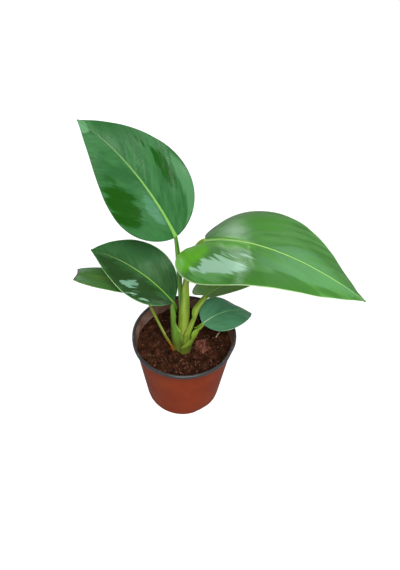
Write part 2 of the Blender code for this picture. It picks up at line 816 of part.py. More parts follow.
def stalk_section(leaf, point, way, share):
    """The closed outline of the stalk there: a clasping crescent low down, a grooved rod higher up."""
    keel = heading(leaf.keel_deg, 0)
    blade_under = -blade_frames(leaf, [0.0])[0][3]
    toward = unit(mixed(keel, blade_under, smooth_step(share)))
    toward = unit(toward - way * np.dot(toward, way))
    across = np.cross(way, toward)
    clasp, inner, wall = section_shape(leaf, point, share)
    edge = mixed(SHEATH_EDGE, ROD_EDGE, smooth_step(share * 1.5))
    outline = []
    for turn in np.linspace(-1, 1, OUTER_POINTS):
        outline.append((clasp * turn, inner + wall * mixed(1.0, edge, turn**2)))
    inner_step = math.radians(clasp) / (INNER_POINTS - 1)
    for turn in np.linspace(1, -1, INNER_POINTS):
        outline.append((clasp * turn, inner / math.cos(inner_step)))
    places = []
    for angle, radius in outline:
        a = math.radians(angle)
        places.append(point + (toward * math.cos(a) + across * math.sin(a)) * radius)
    return places


def build_stalk(leaf):
    """The leaf's stalk: its sheath round the younger stalks, and the grooved rod up to the blade."""
    bm = bmesh.new()
    loops = []
    for point, way, share in stalk_line(leaf):
        loops.append([bm.verts.new(place) for place in stalk_section(leaf, point, way, share)])
    for below, above in zip(loops, loops[1:]):
        join_loops(bm, below, above)
    bm.faces.new(loops[0][::-1])
    bm.faces.new(loops[-1])
    bmesh.ops.triangulate(bm, faces=[face for face in bm.faces if len(face.verts) > 4])
    kind = "aged_stalk" if leaf.name == "aged" else "stalk"
    return add_object("stalk_" + leaf.name, mesh_of(bm, "stalk_" + leaf.name), kind)


def main():
    for found in list(bpy.data.objects):
        bpy.data.objects.remove(found)
    build_pot()
    fillers = build_roots()
    fillers.append(build_neck_cutter())
    fillers += build_clods()
    build_mix(fillers)
    build_straw()
    for leaf in LEAVES:
        build_stalk(leaf)
        build_blade(leaf)


main()
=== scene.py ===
"""The looks of a young bird of paradise growing in a round nursery pot.

The pot stands on z = 0 with its axis on Z, +X is to the right of the fan of leaves and -Y is its front.
Lengths are in metres and angles in degrees, unless a name says otherwise.
"""

import json
import logging
import math
from dataclasses import dataclass, field
from enum import Enum
from typing import Any, Iterable, Optional, Sequence, Union

import bmesh
import bpy
import numpy as np
from mathutils import Matrix, Vector, noise

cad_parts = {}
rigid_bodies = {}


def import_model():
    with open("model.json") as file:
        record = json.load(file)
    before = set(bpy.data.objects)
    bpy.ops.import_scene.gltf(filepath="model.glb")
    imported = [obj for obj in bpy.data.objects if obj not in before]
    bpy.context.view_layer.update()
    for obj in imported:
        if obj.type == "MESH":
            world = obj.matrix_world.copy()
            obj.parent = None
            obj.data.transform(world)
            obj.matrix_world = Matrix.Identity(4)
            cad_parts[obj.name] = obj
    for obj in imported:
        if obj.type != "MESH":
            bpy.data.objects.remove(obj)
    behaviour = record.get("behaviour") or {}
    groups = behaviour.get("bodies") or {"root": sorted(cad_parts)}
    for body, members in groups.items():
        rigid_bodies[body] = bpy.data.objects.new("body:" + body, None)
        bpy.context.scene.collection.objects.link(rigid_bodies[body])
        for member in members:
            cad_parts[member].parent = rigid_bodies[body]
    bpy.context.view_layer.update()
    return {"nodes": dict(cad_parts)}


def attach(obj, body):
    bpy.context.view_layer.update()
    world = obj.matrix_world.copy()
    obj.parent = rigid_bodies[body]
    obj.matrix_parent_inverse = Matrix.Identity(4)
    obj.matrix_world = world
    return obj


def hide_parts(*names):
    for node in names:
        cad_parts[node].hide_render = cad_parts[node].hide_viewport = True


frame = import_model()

LOG = logging.getLogger("potted_plant")

MM = 0.001
GAP = 0.3 * MM
ROOT_BODY = "root"

Colour = tuple[float, float, float]
Socket = bpy.types.NodeSocket
Value = Union[float, Socket]


class Slot(Enum):
    """Finish slot names for made pieces, which enlist takes but does not use; the roots stay CAD nodes
    and need none.
    """

    POT = "pot"
    MIX = "potting_mix"
    CLOD = "clod"
    STRAW = "straw"
    BLADE = "blade"
    YOUNG_BLADE = "young_blade"
    STALK = "stalk"
    AGED_STALK = "aged_stalk"


# --- Numbers -----------------------------------------------------------------------------------------
def mixed(a: Any, b: Any, share: Any) -> Any:
    """The value SHARE of the way from a to b."""
    return a + (b - a) * share


def smooth(value: Any) -> Any:
    """A smooth step of a number or an array, flat below 0 and above 1."""
    value = np.clip(value, 0.0, 1.0)
    return value * value * (3 - 2 * value)


def unit(vector: np.ndarray) -> np.ndarray:
    """The vector at length 1."""
    return vector / np.linalg.norm(vector)


def heading(azimuth: float, elevation: float) -> np.ndarray:
    """The direction at that azimuth and elevation."""
    a, e = math.radians(azimuth), math.radians(elevation)
    return np.array([math.cos(a) * math.cos(e), math.sin(a) * math.cos(e), math.sin(e)])


def linear(red: int, green: int, blue: int) -> Colour:
    """A display colour of 0 to 255 as the linear colour that shaders use."""
    parts = []
    for part in (red, green, blue):
        level = part / 255
        parts.append(level / 12.92 if level <= 0.04045 else ((level + 0.055) / 1.055) ** 2.4)
    return (parts[0], parts[1], parts[2])


# --- Meshes ------------------------------------------------------------------------------------------
def link(name: str, mesh: bpy.types.Mesh, material: Optional[bpy.types.Material]) -> bpy.types.Object:
    """Links a mesh into the scene as a named, smooth shaded object.

    Args:
        name: the object's name.
        mesh: its mesh, already in place.
        material: its finish, or None for a helper.

    Returns:
        The new object.
    """
    made = bpy.data.objects.new(name, mesh)
    bpy.context.scene.collection.objects.link(made)
    if material:
        mesh.materials.clear()
        mesh.materials.append(material)
    mesh.shade_smooth()
    return made


def grid_mesh(
    name: str, points: np.ndarray, faces: list, marks: dict[str, np.ndarray]
) -> bpy.types.Mesh:
    """A mesh from points and faces, with one float attribute a point for each mark.

    Args:
        name: the mesh's name.
        points: an N by 3 array.
        faces: tuples of point numbers.
        marks: attribute names with N values each.

    Returns:
        The mesh, with its faces turned outwards.
    """
    mesh = bpy.data.meshes.new(name)
    mesh.from_pydata([tuple(map(float, point)) for point in points], [], faces)
    for mark, values in marks.items():
        layer = mesh.attributes.new(mark, "FLOAT", "POINT")
        layer.data.foreach_set("value", np.asarray(values, dtype=np.float32))
    bm = bmesh.new()
    bm.from_mesh(mesh)
    bmesh.ops.recalc_face_normals(bm, faces=bm.faces)
    bm.to_mesh(mesh)
    bm.free()
    return mesh


def strip(first: list[int], second: list[int], closed: bool = True) -> list:
    """Quads between two rows of point numbers of one length."""
    count = len(first)
    last = count if closed else count - 1
    return [(first[i], first[(i + 1) % count], second[(i + 1) % count], second[i]) for i in range(last)]


def settle(made: bpy.types.Object) -> bpy.types.Object:
    """Turns an object's live modifiers into plain mesh."""
    bpy.context.view_layer.update()
    graph = bpy.context.evaluated_depsgraph_get()
    mesh = bpy.data.meshes.new_from_object(made.evaluated_get(graph))
    mesh.name = made.name
    made.modifiers.clear()
    made.data = mesh
    return made


def enlist(made: bpy.types.Object, slot: Slot, *nodes: str) -> None:
    """Puts a finished piece on the root body, standing for its CAD nodes, which it hides."""
    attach(made, ROOT_BODY)
    if nodes:
        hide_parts(*nodes)
    LOG.info("%s: %d faces", made.name, len(made.data.polygons))


# --- Shader wiring -----------------------------------------------------------------------------------
class Wiring:
    """A node tree in the making. Each method adds a node and returns its output."""

    def __init__(self, tree: bpy.types.NodeTree) -> None:
        """Starts on an existing tree."""
        self.tree = tree

    def node(self, kind: str, **settings: Any) -> bpy.types.Node:
        """Adds a node and sets its properties."""
        made = self.tree.nodes.new(kind)
        for name, value in settings.items():
            setattr(made, name, value)
        return made

    def feed(self, socket: Socket, value: Any) -> None:
        """Links a socket to another, or sets its value."""
        if isinstance(value, bpy.types.NodeSocket):
            self.tree.links.new(value, socket)
        elif isinstance(value, tuple) and len(value) == 3 and socket.type == "RGBA":
            socket.default_value = (*value, 1.0)
        else:
            socket.default_value = value

    def maths(self, operation: str, *values: Value) -> Socket:
        """A Math node on one to three values."""
        made = self.node("ShaderNodeMath", operation=operation)
        for socket, value in zip(made.inputs, values):
            self.feed(socket, value)
        return made.outputs[0]

    def times(self, first: Value, *others: Value) -> Socket:
        """The product of some values."""
        result = first
        for other in others:
            result = self.maths("MULTIPLY", result, other)
        return result

    def mark(self, name: str) -> Socket:
        """A float attribute of the mesh."""
        made = self.node("ShaderNodeAttribute", attribute_type="GEOMETRY", attribute_name=name)
        return made.outputs["Fac"]

    def place(self, stretch: tuple[float, float, float] = (1.0, 1.0, 1.0)) -> Socket:
        """Object coordinates, stretched."""
        coordinates = self.node("ShaderNodeTexCoord").outputs["Object"]
        mapping = self.node("ShaderNodeMapping")
        self.feed(mapping.inputs["Vector"], coordinates)
        mapping.inputs["Scale"].default_value = stretch
        return mapping.outputs[0]

    def vector(self, x: Value, y: Value = 0.0, z: Value = 0.0) -> Socket:
        """Three values as a vector."""
        made = self.node("ShaderNodeCombineXYZ")
        for socket, value in zip(made.inputs, (x, y, z)):
            self.feed(socket, value)
        return made.outputs[0]

    def cloud(self, where: Socket, scale: Value, detail: float = 2.0, rough: float = 0.5) -> Socket:
        """Noise of 0 to 1 at those coordinates."""
        made = self.node("ShaderNodeTexNoise", noise_dimensions="3D")
        self.feed(made.inputs["Vector"], where)
        self.feed(made.inputs["Scale"], scale)
        made.inputs["Detail"].default_value = detail
        made.inputs["Roughness"].default_value = rough
        return made.outputs["Fac"]

    def rise(self, value: Value, low: float, high: float) -> Socket:
        """A smooth step of the value from low, 0, to high, 1."""
        made = self.node("ShaderNodeMapRange", interpolation_type="SMOOTHSTEP")
        self.feed(made.inputs["Value"], value)
        made.inputs["From Min"].default_value = low
        made.inputs["From Max"].default_value = high
        return made.outputs["Result"]

    def blend(self, share: Value, a: Any, b: Any) -> Socket:
        """A colour between a and b."""
        made = self.node("ShaderNodeMix", data_type="RGBA", clamp_factor=True)
        self.feed(made.inputs[0], share)
        self.feed(made.inputs[6], a)
        self.feed(made.inputs[7], b)
        return made.outputs[2]

    def level(self, share: Value, a: Value, b: Value) -> Socket:
        """A number between a and b."""
        made = self.node("ShaderNodeMix", data_type="FLOAT", clamp_factor=True)
        self.feed(made.inputs[0], share)
        self.feed(made.inputs[2], a)
        self.feed(made.inputs[3], b)
        return made.outputs[0]

    def relief(self, height: Socket, depth: float, strength: float = 1.0) -> Socket:
        """A normal bumped by the height."""
        made = self.node("ShaderNodeBump")
        made.inputs["Strength"].default_value = strength
        made.inputs["Distance"].default_value = depth
        self.feed(made.inputs["Height"], height)
        return made.outputs[0]

    def effect(self, group: bpy.types.NodeTree, **values: Any) -> bpy.types.Node:
        """Places a shared node group and feeds its named inputs."""
        made = self.node("ShaderNodeGroup", node_tree=group)
        for name, value in values.items():
            self.feed(made.inputs[name], value)
        return made


def effect_group(
    name: str, inputs: dict[str, tuple], outputs: Sequence[str]
) -> tuple[Wiring, Any, Any]:
    """Starts a shared shader group.

    Args:
        name: the group's name.
        inputs: socket types with default values, by name.
        outputs: names of its float outputs.

    Returns:
        The wiring, the group's input node and its output node.
    """
    tree = bpy.data.node_groups.new(name, "ShaderNodeTree")
    for label, (kind, default) in inputs.items():
        socket = tree.interface.new_socket(label, in_out="INPUT", socket_type=kind)
        if default is not None:
            socket.default_value = default
    for label in outputs:
        tree.interface.new_socket(label, in_out="OUTPUT", socket_type="NodeSocketFloat")
    return Wiring(tree), tree.nodes.new("NodeGroupInput"), tree.nodes.new("NodeGroupOutput")


FLOAT, VECTOR = "NodeSocketFloat", "NodeSocketVector"
FINE_AGAINST_COARSE = 7.3  # how much finer a mottle's fine part is


def mottle_group() -> bpy.types.NodeTree:
    """Uneven colour at two sizes, as age and handling leave it: Coarse, Fine and their Both."""
    found = bpy.data.node_groups.get("mottle")
    if found:
        return found
    inputs = {"Where": (VECTOR, None), "Size": (FLOAT, 60.0)}
    wiring, given, put = effect_group("mottle", inputs, ("Coarse", "Fine", "Both"))
    where, size = given.outputs["Where"], given.outputs["Size"]
    coarse = wiring.cloud(where, size, 3.0, 0.6)
    fine = wiring.cloud(where, wiring.times(size, FINE_AGAINST_COARSE), 3.0, 0.65)
    wiring.feed(put.inputs["Coarse"], coarse)
    wiring.feed(put.inputs["Fine"], fine)
    wiring.feed(put.inputs["Both"], wiring.level(0.4, coarse, fine))
    return wiring.tree


def vein_group() -> bpy.types.NodeTree:
    """Parallel veins: Ridge is their raised line, Streak an uneven tone that runs along them."""
    found = bpy.data.node_groups.get("parallel_veins")
    if found:
        return found
    inputs = {
        "Across": (FLOAT, 0.0),
        "Along": (FLOAT, 0.0),
        "Spacing": (FLOAT, 1.3),
        "Seed": (FLOAT, 0.0),
    }
    wiring, given, put = effect_group("parallel_veins", inputs, ("Ridge", "Streak"))
    across, along, seed = given.outputs["Across"], given.outputs["Along"], given.outputs["Seed"]
    steps = wiring.maths("DIVIDE", across, given.outputs["Spacing"])
    path = wiring.vector(wiring.times(steps, 0.35), wiring.times(along, 0.05), seed)
    wander = wiring.cloud(path, 1.0, 1.0)
    turn = wiring.times(wiring.maths("ADD", steps, wander), 2 * math.pi)
    wave = wiring.maths("MULTIPLY_ADD", wiring.maths("COSINE", turn), 0.5, 0.5)
    wiring.feed(put.inputs["Ridge"], wiring.maths("POWER", wave, 3.0))
    band = wiring.vector(wiring.times(steps, 0.42), wiring.times(along, 0.035), seed)
    broad = wiring.cloud(band, 1.0, 3.0, 0.7)
    wiring.feed(put.inputs["Streak"], wiring.rise(broad, 0.30, 0.70))
    return wiring.tree


def new_material(name: str) -> tuple[bpy.types.Material, Wiring, bpy.types.Node]:
    """A new material with its wiring and its Principled shader."""
    made = bpy.data.materials.new(name)
    made.use_nodes = True
    return made, Wiring(made.node_tree), made.node_tree.nodes["Principled BSDF"]


def set_shader(shader: bpy.types.Node, **values: float) -> None:
    """Sets constants of the Principled shader; a name's underscores stand for spaces."""
    for name, value in values.items():
        shader.inputs[name.replace("_", " ")].default_value = value


# --- Finishes ----------------------------------------------------------------------------------------
@dataclass(frozen=True)
class PotFinish:
    """Two-tone formed plastic: a brick-red outside, a dark lip, and a dark inside painted lighter, with
    dust and painted light strongest on its left.
    """

    brick: Colour = linear(158, 60, 20)
    brick_deep: Colour = linear(144, 52, 18)
    brick_dust: Colour = linear(164, 78, 46)
    lip: Colour = linear(58, 56, 58)
    # Painted light: the inside and its dust colour are lighter than the dark plastic, lighting the
    # shaded inside wall
    inside: Colour = linear(128, 90, 72)
    inside_dust_and_light: Colour = linear(190, 160, 146)
    speck: Colour = linear(225, 110, 60)
    speck_place: tuple[float, float, float] = (-0.0260, -0.0385, 0.0190)
    speck_size: float = 1.0 * MM

    def build(self) -> bpy.types.Material:
        """Makes the material; the mesh marks its dark skin, and where dust lies, with painted light on
        the inside.
        """
        made, w, shader = new_material("two_tone_plastic")
        where = w.place()
        mottle = w.effect(mottle_group(), Where=where, Size=26.0)
        streaks = w.cloud(w.place((1.0, 1.0, 0.16)), 140.0, 3.0, 0.6)
        coarse, fine, both = (mottle.outputs[part] for part in ("Coarse", "Fine", "Both"))
        brick = w.blend(w.rise(coarse, 0.32, 0.72), self.brick_deep, self.brick)
        brick = w.blend(w.times(w.rise(fine, 0.45, 0.75), 0.16), brick, self.brick_dust)
        brick = w.blend(w.times(w.rise(streaks, 0.5, 0.78), 0.12), brick, self.brick_dust)
        brick = w.blend(w.times(w.mark("dust"), w.rise(both, 0.25, 0.65)), brick, self.brick_dust)
        gap = w.node("ShaderNodeVectorMath", operation="DISTANCE")
        w.feed(gap.inputs[0], where)
        gap.inputs[1].default_value = self.speck_place
        beyond = w.rise(gap.outputs["Value"], self.speck_size * 0.5, self.speck_size)
        brick = w.blend(w.maths("SUBTRACT", 1.0, beyond), brick, self.speck)
        # Dust, and on the inside also painted light, heaviest where the mark is
        dust_and_light_noise = w.effect(mottle_group(), Where=where, Size=70.0)
        dust = w.rise(dust_and_light_noise.outputs["Both"], 0.38, 0.66)
        inside = w.blend(w.times(dust, w.mark("dust")), self.inside, self.inside_dust_and_light)
        dark = w.blend(w.mark("lip"), inside, self.lip)
        scuff = w.rise(fine, 0.50, 0.80)
        dark = w.blend(w.times(scuff, 0.25), dark, self.inside_dust_and_light)
        satin = w.level(w.mark("dark"), w.level(fine, 0.40, 0.58), w.level(scuff, 0.28, 0.40))
        w.feed(shader.inputs["Base Color"], w.blend(w.mark("dark"), brick, dark))
        w.feed(shader.inputs["Roughness"], satin)
        w.feed(shader.inputs["Specular IOR Level"], w.level(w.mark("lip"), 0.10, 0.5))
        w.feed(shader.inputs["Normal"], w.relief(w.level(0.3, streaks, fine), 0.12 * MM, 0.5))
        set_shader(shader, IOR=1.45)
        return made


@dataclass(frozen=True)
class EarthFinish:
    """Coir and peat: dark crumbs with dry, pinkish-brown ones among them."""

    name: str
    wet: Colour = linear(22, 11, 5)
    dark: Colour = linear(54, 30, 18)
    dry: Colour = linear(120, 74, 50)
    dry_from: float = 0.62
    use_tone: bool = False
    grain: float = 900.0

    def build(self) -> bpy.types.Material:
        """Makes the material; scattered crumbs carry a tone each, other earth takes it from noise."""
        made, w, shader = new_material(self.name)
        where = w.place()
        mottle = w.effect(mottle_group(), Where=where, Size=120.0)
        grit = w.cloud(where, self.grain, 4.0, 0.7)
        tone = w.mark("tone") if self.use_tone else w.rise(mottle.outputs["Both"], 0.30, 0.74)
        colour = w.blend(w.rise(tone, 0.0, 0.5), self.wet, self.dark)
        colour = w.blend(w.rise(tone, self.dry_from, 1.0), colour, self.dry)
        colour = w.blend(w.times(w.rise(grit, 0.52, 0.72), 0.35), colour, self.dry)
        colour = w.blend(w.times(w.rise(grit, 0.50, 0.30), 0.6), colour, self.wet)
        w.feed(shader.inputs["Base Color"], colour)
        w.feed(shader.inputs["Roughness"], w.level(grit, 0.75, 1.0))
        crumbs = w.level(0.6, mottle.outputs["Fine"], grit)
        w.feed(shader.inputs["Normal"], w.relief(crumbs, 0.5 * MM, 0.9))
        set_shader(shader, IOR=1.2, Specular_IOR_Level=0.2)
        return made


@dataclass(frozen=True)
class FibreFinish:
    """Dry plant fibre with streaks along it and paler, frayed parts."""

    name: str
    light: Colour
    deep: Colour

    def build(self) -> bpy.types.Material:
        """Makes the material."""
        made, w, shader = new_material(self.name)
        where = w.place()
        mottle = w.effect(mottle_group(), Where=where, Size=260.0)
        colour = w.blend(w.rise(mottle.outputs["Both"], 0.3, 0.7), self.deep, self.light)
        w.feed(shader.inputs["Base Color"], colour)
        w.feed(shader.inputs["Roughness"], w.level(mottle.outputs["Fine"], 0.6, 0.9))
        w.feed(shader.inputs["Normal"], w.relief(mottle.outputs["Fine"], 0.15 * MM, 0.7))
        return made


@dataclass(frozen=True)
class ToneAndSheenPatch:
    """A patch on a blade that differs in colour, with an edge feathered along the veins. Some are the
    leaf's own tone; others are painted light: painted sheen, glints and reflections, and darker patches
    that paint where no reflection falls.

    The place is a share of the blade's length and a signed share of the way to the margin.
    """

    along: float
    out: float
    reach_along: float
    reach_out: float
    colour: Colour
    amount: float = 0.8
    streaky: float = 0.5
    slant: float = 0.0


@dataclass(frozen=True)
class BladeFinish:
    """A waxy leaf blade: parallel veins, a pale midrib, a fine pale margin and a duller underside."""

    name: str
    fresh: Colour
    deep: Colour
    rib: Colour
    margin: Colour
    under: Colour
    under_rib: Colour
    vein_spacing: float = 1.25
    broad_against_fine: float = 4.6
    streak_amount: float = 0.5
    roughness: float = 0.22
    tone_and_sheen_patches: tuple[ToneAndSheenPatch, ...] = ()
    tip_dry: float = 0.0
    shine: float = 0.42
    rib_fade: float = 0.8
    dry: Colour = linear(70, 40, 35)

    def build(self) -> bpy.types.Material:
        """Makes the material from the blade's marks.

        They are vein and out, in millimetres, and the shares share, edge, rib and under.
        """
        made, w, shader = new_material(self.name)
        vein, out, share, edge = w.mark("vein"), w.mark("out"), w.mark("share"), w.mark("edge")
        rib, under = w.mark("rib"), w.mark("under")
        side = w.maths("SIGN", out)
        signed_edge = w.times(edge, side)
        along = w.maths("ABSOLUTE", out)
        fine_seed, broad_seed = w.times(side, 7.0), w.times(side, 3.0)
        spacing = self.vein_spacing
        veins = w.effect(vein_group(), Across=vein, Along=along, Spacing=spacing, Seed=fine_seed)
        spacing *= self.broad_against_fine
        broad = w.effect(vein_group(), Across=vein, Along=along, Spacing=spacing, Seed=broad_seed)
        streak = broad.outputs["Streak"]
        mottle = w.effect(mottle_group(), Where=w.place(), Size=32.0)
        tone = w.rise(w.level(0.5, streak, mottle.outputs["Coarse"]), 0.25, 0.75)
        colour = w.blend(w.times(tone, self.streak_amount), self.fresh, self.deep)
        colour = w.blend(w.times(veins.outputs["Streak"], 0.22), colour, self.deep)
        # Patches of the leaf's tone, and of painted sheen, glints and reflections
        for tone_and_sheen_patch in self.tone_and_sheen_patches:
            patch = self.patch(w, tone_and_sheen_patch, share, signed_edge, streak)
            colour = w.blend(patch, colour, tone_and_sheen_patch.colour)
        colour = w.blend(w.times(veins.outputs["Ridge"], 0.16), colour, self.margin)
        beside = w.times(w.rise(rib, 2.6, 1.1), 0.35)
        colour = w.blend(beside, colour, self.deep)
        fade = w.maths("SUBTRACT", 1.0, w.times(w.rise(share, self.rib_fade, 1.0), 0.9))
        colour = w.blend(w.times(w.rise(rib, 1.15, 0.6), 0.92, fade), colour, self.rib)
        colour = w.blend(w.times(w.rise(edge, 0.972, 0.990), 0.85), colour, self.margin)
        dry = w.times(w.rise(share, 0.970, 0.990), self.tip_dry)
        colour = w.blend(dry, colour, self.dry)
        below = w.blend(w.times(veins.outputs["Ridge"], 0.25), self.under, self.under_rib)
        below = w.blend(w.times(mottle.outputs["Coarse"], 0.4), below, self.deep)
        below = w.blend(w.rise(rib, 1.5, 0.8), below, self.under_rib)
        w.feed(shader.inputs["Base Color"], w.blend(under, colour, below))
        gloss = w.level(0.5, streak, mottle.outputs["Fine"])
        gloss = w.level(gloss, self.roughness - 0.04, self.roughness + 0.05)
        gloss = w.level(w.times(w.rise(rib, 1.3, 0.6), 0.8), gloss, 0.42)
        w.feed(shader.inputs["Roughness"], w.level(under, gloss, 0.55))
        height = w.level(0.35, veins.outputs["Ridge"], streak)
        height = w.level(0.25, height, mottle.outputs["Fine"])
        w.feed(shader.inputs["Normal"], w.relief(height, 0.22 * MM, 0.45))
        set_shader(shader, IOR=1.45, Specular_IOR_Level=self.shine)
        return made

    @staticmethod
    def patch(w: Wiring, tone_and_sheen_patch: ToneAndSheenPatch, share: Socket, signed_edge: Socket, streak: Socket) -> Socket:
        """How strongly a patch, of tone or of painted sheen, shows at each point."""
        beside = w.maths("SUBTRACT", signed_edge, tone_and_sheen_patch.out)
        shifted = w.maths("SUBTRACT", share, w.times(beside, tone_and_sheen_patch.slant))
        along = w.maths("DIVIDE", w.maths("SUBTRACT", shifted, tone_and_sheen_patch.along), tone_and_sheen_patch.reach_along)
        across = w.maths("DIVIDE", beside, tone_and_sheen_patch.reach_out)
        away = w.maths("ADD", w.times(along, along), w.times(across, across))
        away = w.maths("ADD", away, w.times(w.maths("SUBTRACT", 0.5, streak), tone_and_sheen_patch.streaky))
        return w.times(w.rise(away, 1.25, 0.45), tone_and_sheen_patch.amount)


@dataclass(frozen=True)
class StalkFinish:
    """A fleshy stalk with fine lengthwise ribs, darker towards its foot and its sides."""

    name: str
    light: Colour
    green: Colour
    deep: Colour
    foot: Colour
    membrane: Colour = linear(172, 192, 110)
    rust: Colour = linear(130, 96, 48)
    foot_height: float = 0.10
    foot_reach: float = 0.016
    roughness: float = 0.34

    def build(self) -> bpy.types.Material:
        """Makes the material from the stalk's marks: turn and lip, and height in metres."""
        made, w, shader = new_material(self.name)
        turn, height, lip = w.mark("turn"), w.mark("height"), w.mark("lip")
        around = w.vector(turn, w.times(height, 6.0), 0.0)
        ribs = w.cloud(around, 9.0, 2.0, 0.6)
        bands = w.cloud(around, 3.2, 2.0, 0.5)
        mottle = w.effect(mottle_group(), Where=w.place((1.0, 1.0, 0.25)), Size=120.0)
        colour = w.blend(w.rise(bands, 0.35, 0.66), self.green, self.light)
        colour = w.blend(w.times(w.rise(ribs, 0.50, 0.72), 0.5), colour, self.light)
        colour = w.blend(w.times(w.rise(mottle.outputs["Coarse"], 0.55, 0.8), 0.5), colour, self.deep)
        edge = w.rise(w.maths("ABSOLUTE", turn), 0.55, 1.0)
        colour = w.blend(w.times(edge, 0.55), colour, self.deep)
        climb = w.maths("ADD", height, w.times(bands, 0.01))
        low = w.rise(climb, self.foot_height + self.foot_reach, self.foot_height)
        colour = w.blend(low, colour, self.foot)
        colour = w.blend(lip, colour, w.blend(w.rise(ribs, 0.4, 0.6), self.membrane, self.rust))
        w.feed(shader.inputs["Base Color"], colour)
        w.feed(shader.inputs["Roughness"], w.level(ribs, self.roughness - 0.06, self.roughness + 0.14))
        height = w.level(0.3, ribs, mottle.outputs["Fine"])
        w.feed(shader.inputs["Normal"], w.relief(height, 0.25 * MM, 0.5))
        set_shader(shader, IOR=1.42, Coat_Weight=0.12, Coat_Roughness=0.2)
        return made


# --- Pot ---------------------------------------------------------------------------------------------
@dataclass(frozen=True)
class Pot:
    """The thin formed pot: flat floor with drain holes, tapered wall and rolled lip."""

    height: float = 0.105
    radius: float = 0.060
    foot_radius: float = 0.044
    wall: float = 0.8 * MM
    lip_height: float = 4.6 * MM
    lip_overhang: float = 2.8 * MM
    lip_round: float = 1.0 * MM
    lip_crown: float = 1.5 * MM
    foot_round: float = 2.5 * MM
    drain_radius: float = 4.0 * MM
    drain_count: int = 6
    drain_circle: float = 0.028
    lip_waves: tuple[tuple[float, int, float], ...] = (
        (0.35 * MM, 2, 0.6),
        (0.22 * MM, 3, 2.1),
        (0.12 * MM, 7, 0.0),
    )
    lip_press: float = 1.1 * MM
    lip_press_at: float = math.radians(338)
    dent: float = 1.3 * MM
    dent_at: float = math.radians(305)
    dent_height: float = 0.016
    flute: float = 0.05 * MM
    steps: int = 192
    finish: PotFinish = field(default_factory=PotFinish)

    @property
    def lip_end(self) -> float:
        """The height at which the lip's colour ends on the inside."""
        return self.height - 3 * MM

    def wall_radius(self, height: float) -> float:
        """The outside of the wall at that height."""
        under_lip = self.radius - self.lip_overhang
        return mixed(self.foot_radius, under_lip, height / (self.height - self.lip_height))

    def inside_radius(self, height: float) -> float:
        """The inside of the wall at that height."""
        return self.wall_radius(height) - self.wall

    def profile(self) -> list[tuple[float, float, float, float]]:
        """The turned outline from the floor's underside, up and over the lip, to the floor's top.

        Returns:
            Points of (radius, height, dark skin, lip), the last two as shares.
        """
        lip_bottom = self.height - self.lip_height
        low = [(self.foot_radius - self.foot_round) * share for share in (0.0, 0.25, 0.5, 0.75)]
        points = [(radius, 0.0, 0.0, 0.0) for radius in low[1:]]
        corner = (self.foot_radius - self.foot_round, self.foot_round)
        points += [(*spot, 0.0, 0.0) for spot in self.arc(corner, self.foot_round, -90, 0)]
        rises = np.linspace(self.foot_round, lip_bottom, 26)[1:]
        points += [(self.wall_radius(z), z, 0.0, 0.0) for z in rises]
        points += [(self.wall_radius(lip_bottom) + 0.1 * MM, lip_bottom, 1.0, 1.0)]
        outer = (self.radius - self.lip_round, lip_bottom + self.lip_round)
        points += [(*spot, 1.0, 1.0) for spot in self.arc(outer, self.lip_round, -90, 0)]
        crown = (self.radius - self.lip_crown, self.height - self.lip_crown)
        points += [(*spot, 1.0, 1.0) for spot in self.arc(crown, self.lip_crown, 0, 90)]
        inner = (self.inside_radius(self.height) + self.lip_round, self.height - self.lip_round)
        points += [(*spot, 1.0, 1.0) for spot in self.arc(inner, self.lip_round, 90, 180)]
        points += [(self.inside_radius(self.lip_end), self.lip_end, 1.0, 0.0)]
        falls = np.linspace(self.lip_end - 1 * MM, self.foot_round, 24)
        points += [(self.inside_radius(z), z, 1.0, 0.0) for z in falls]
        points += [(*spot, 1.0, 0.0) for spot in self.arc(corner, self.foot_round - self.wall, 0, -90)]
        points += [(radius, self.wall, 1.0, 0.0) for radius in low[:0:-1]]
        return points

    @staticmethod
    def arc(
        centre: tuple[float, float], radius: float, start: float, end: float
    ) -> list[tuple[float, float]]:
        """Points of an arc in the profile's plane."""
        angles = np.radians(np.linspace(start, end, 7))
        return [(centre[0] + radius * math.cos(a), centre[1] + radius * math.sin(a)) for a in angles]

    def uneven(self, angle: float, height: float) -> float:
        """How far the thin wall stands out there: the lip is out of round and the foot dented."""
        top = smooth(height / self.height)
        lip = top * sum(size * math.sin(turns * angle + start) for size, turns, start in self.lip_waves)
        pressed = -self.lip_press * top * self.hump(angle, self.lip_press_at, 0.16)
        dent = -self.dent * self.hump(angle, self.dent_at, 0.30)
        dent *= self.hump(height, 0.0, self.dent_height)
        flute = self.flute * math.sin(24 * angle) * (1 - top)
        return lip + pressed + dent + flute

    @staticmethod
    def hump(value: float, middle: float, reach: float) -> float:
        """A smooth hump of height 1 about the middle."""
        return math.exp(-(((value - middle) / reach) ** 2))

    def build(self) -> bpy.types.Object:
        """Makes the pot with its drain holes cut."""
        material = self.finish.build()
        points, marks = [], {"dark": [], "lip": [], "dust": []}
        rings = []
        for radius, height, dark, lip in self.profile():
            ring = []
            for step in range(self.steps):
                angle = 2 * math.pi * step / self.steps
                real = radius + self.uneven(angle, height) * smooth(radius / self.foot_radius)
                ring.append(len(points))
                points.append((real * math.cos(angle), real * math.sin(angle), height))
                marks["dark"].append(dark)
                marks["lip"].append(lip)
                # Most on the left: dust outside, and dust with painted light on the inside wall
                left = 0.5 - 0.5 * math.cos(angle)
                marks["dust"].append(0.55 * left**2 * (1 - 0.3 * dark) + dark * 0.35)
            rings.append(ring)
        faces = [rings[0][::-1], rings[-1]]
        for below, above in zip(rings, rings[1:]):
            faces += strip(below, above)
        made = link("pot_shell", grid_mesh("pot_shell", np.array(points), faces, marks), material)
        for index in range(self.drain_count):
            self.drill(made, 2 * math.pi * (index + 0.5) / self.drain_count)
        settle(made)
        for cutter in [found for found in bpy.data.objects if found.name.startswith("drain_cutter")]:
            bpy.data.objects.remove(cutter)
        made.data.set_sharp_from_angle(angle=math.radians(50))
        enlist(made, Slot.POT, "pot")
        return made

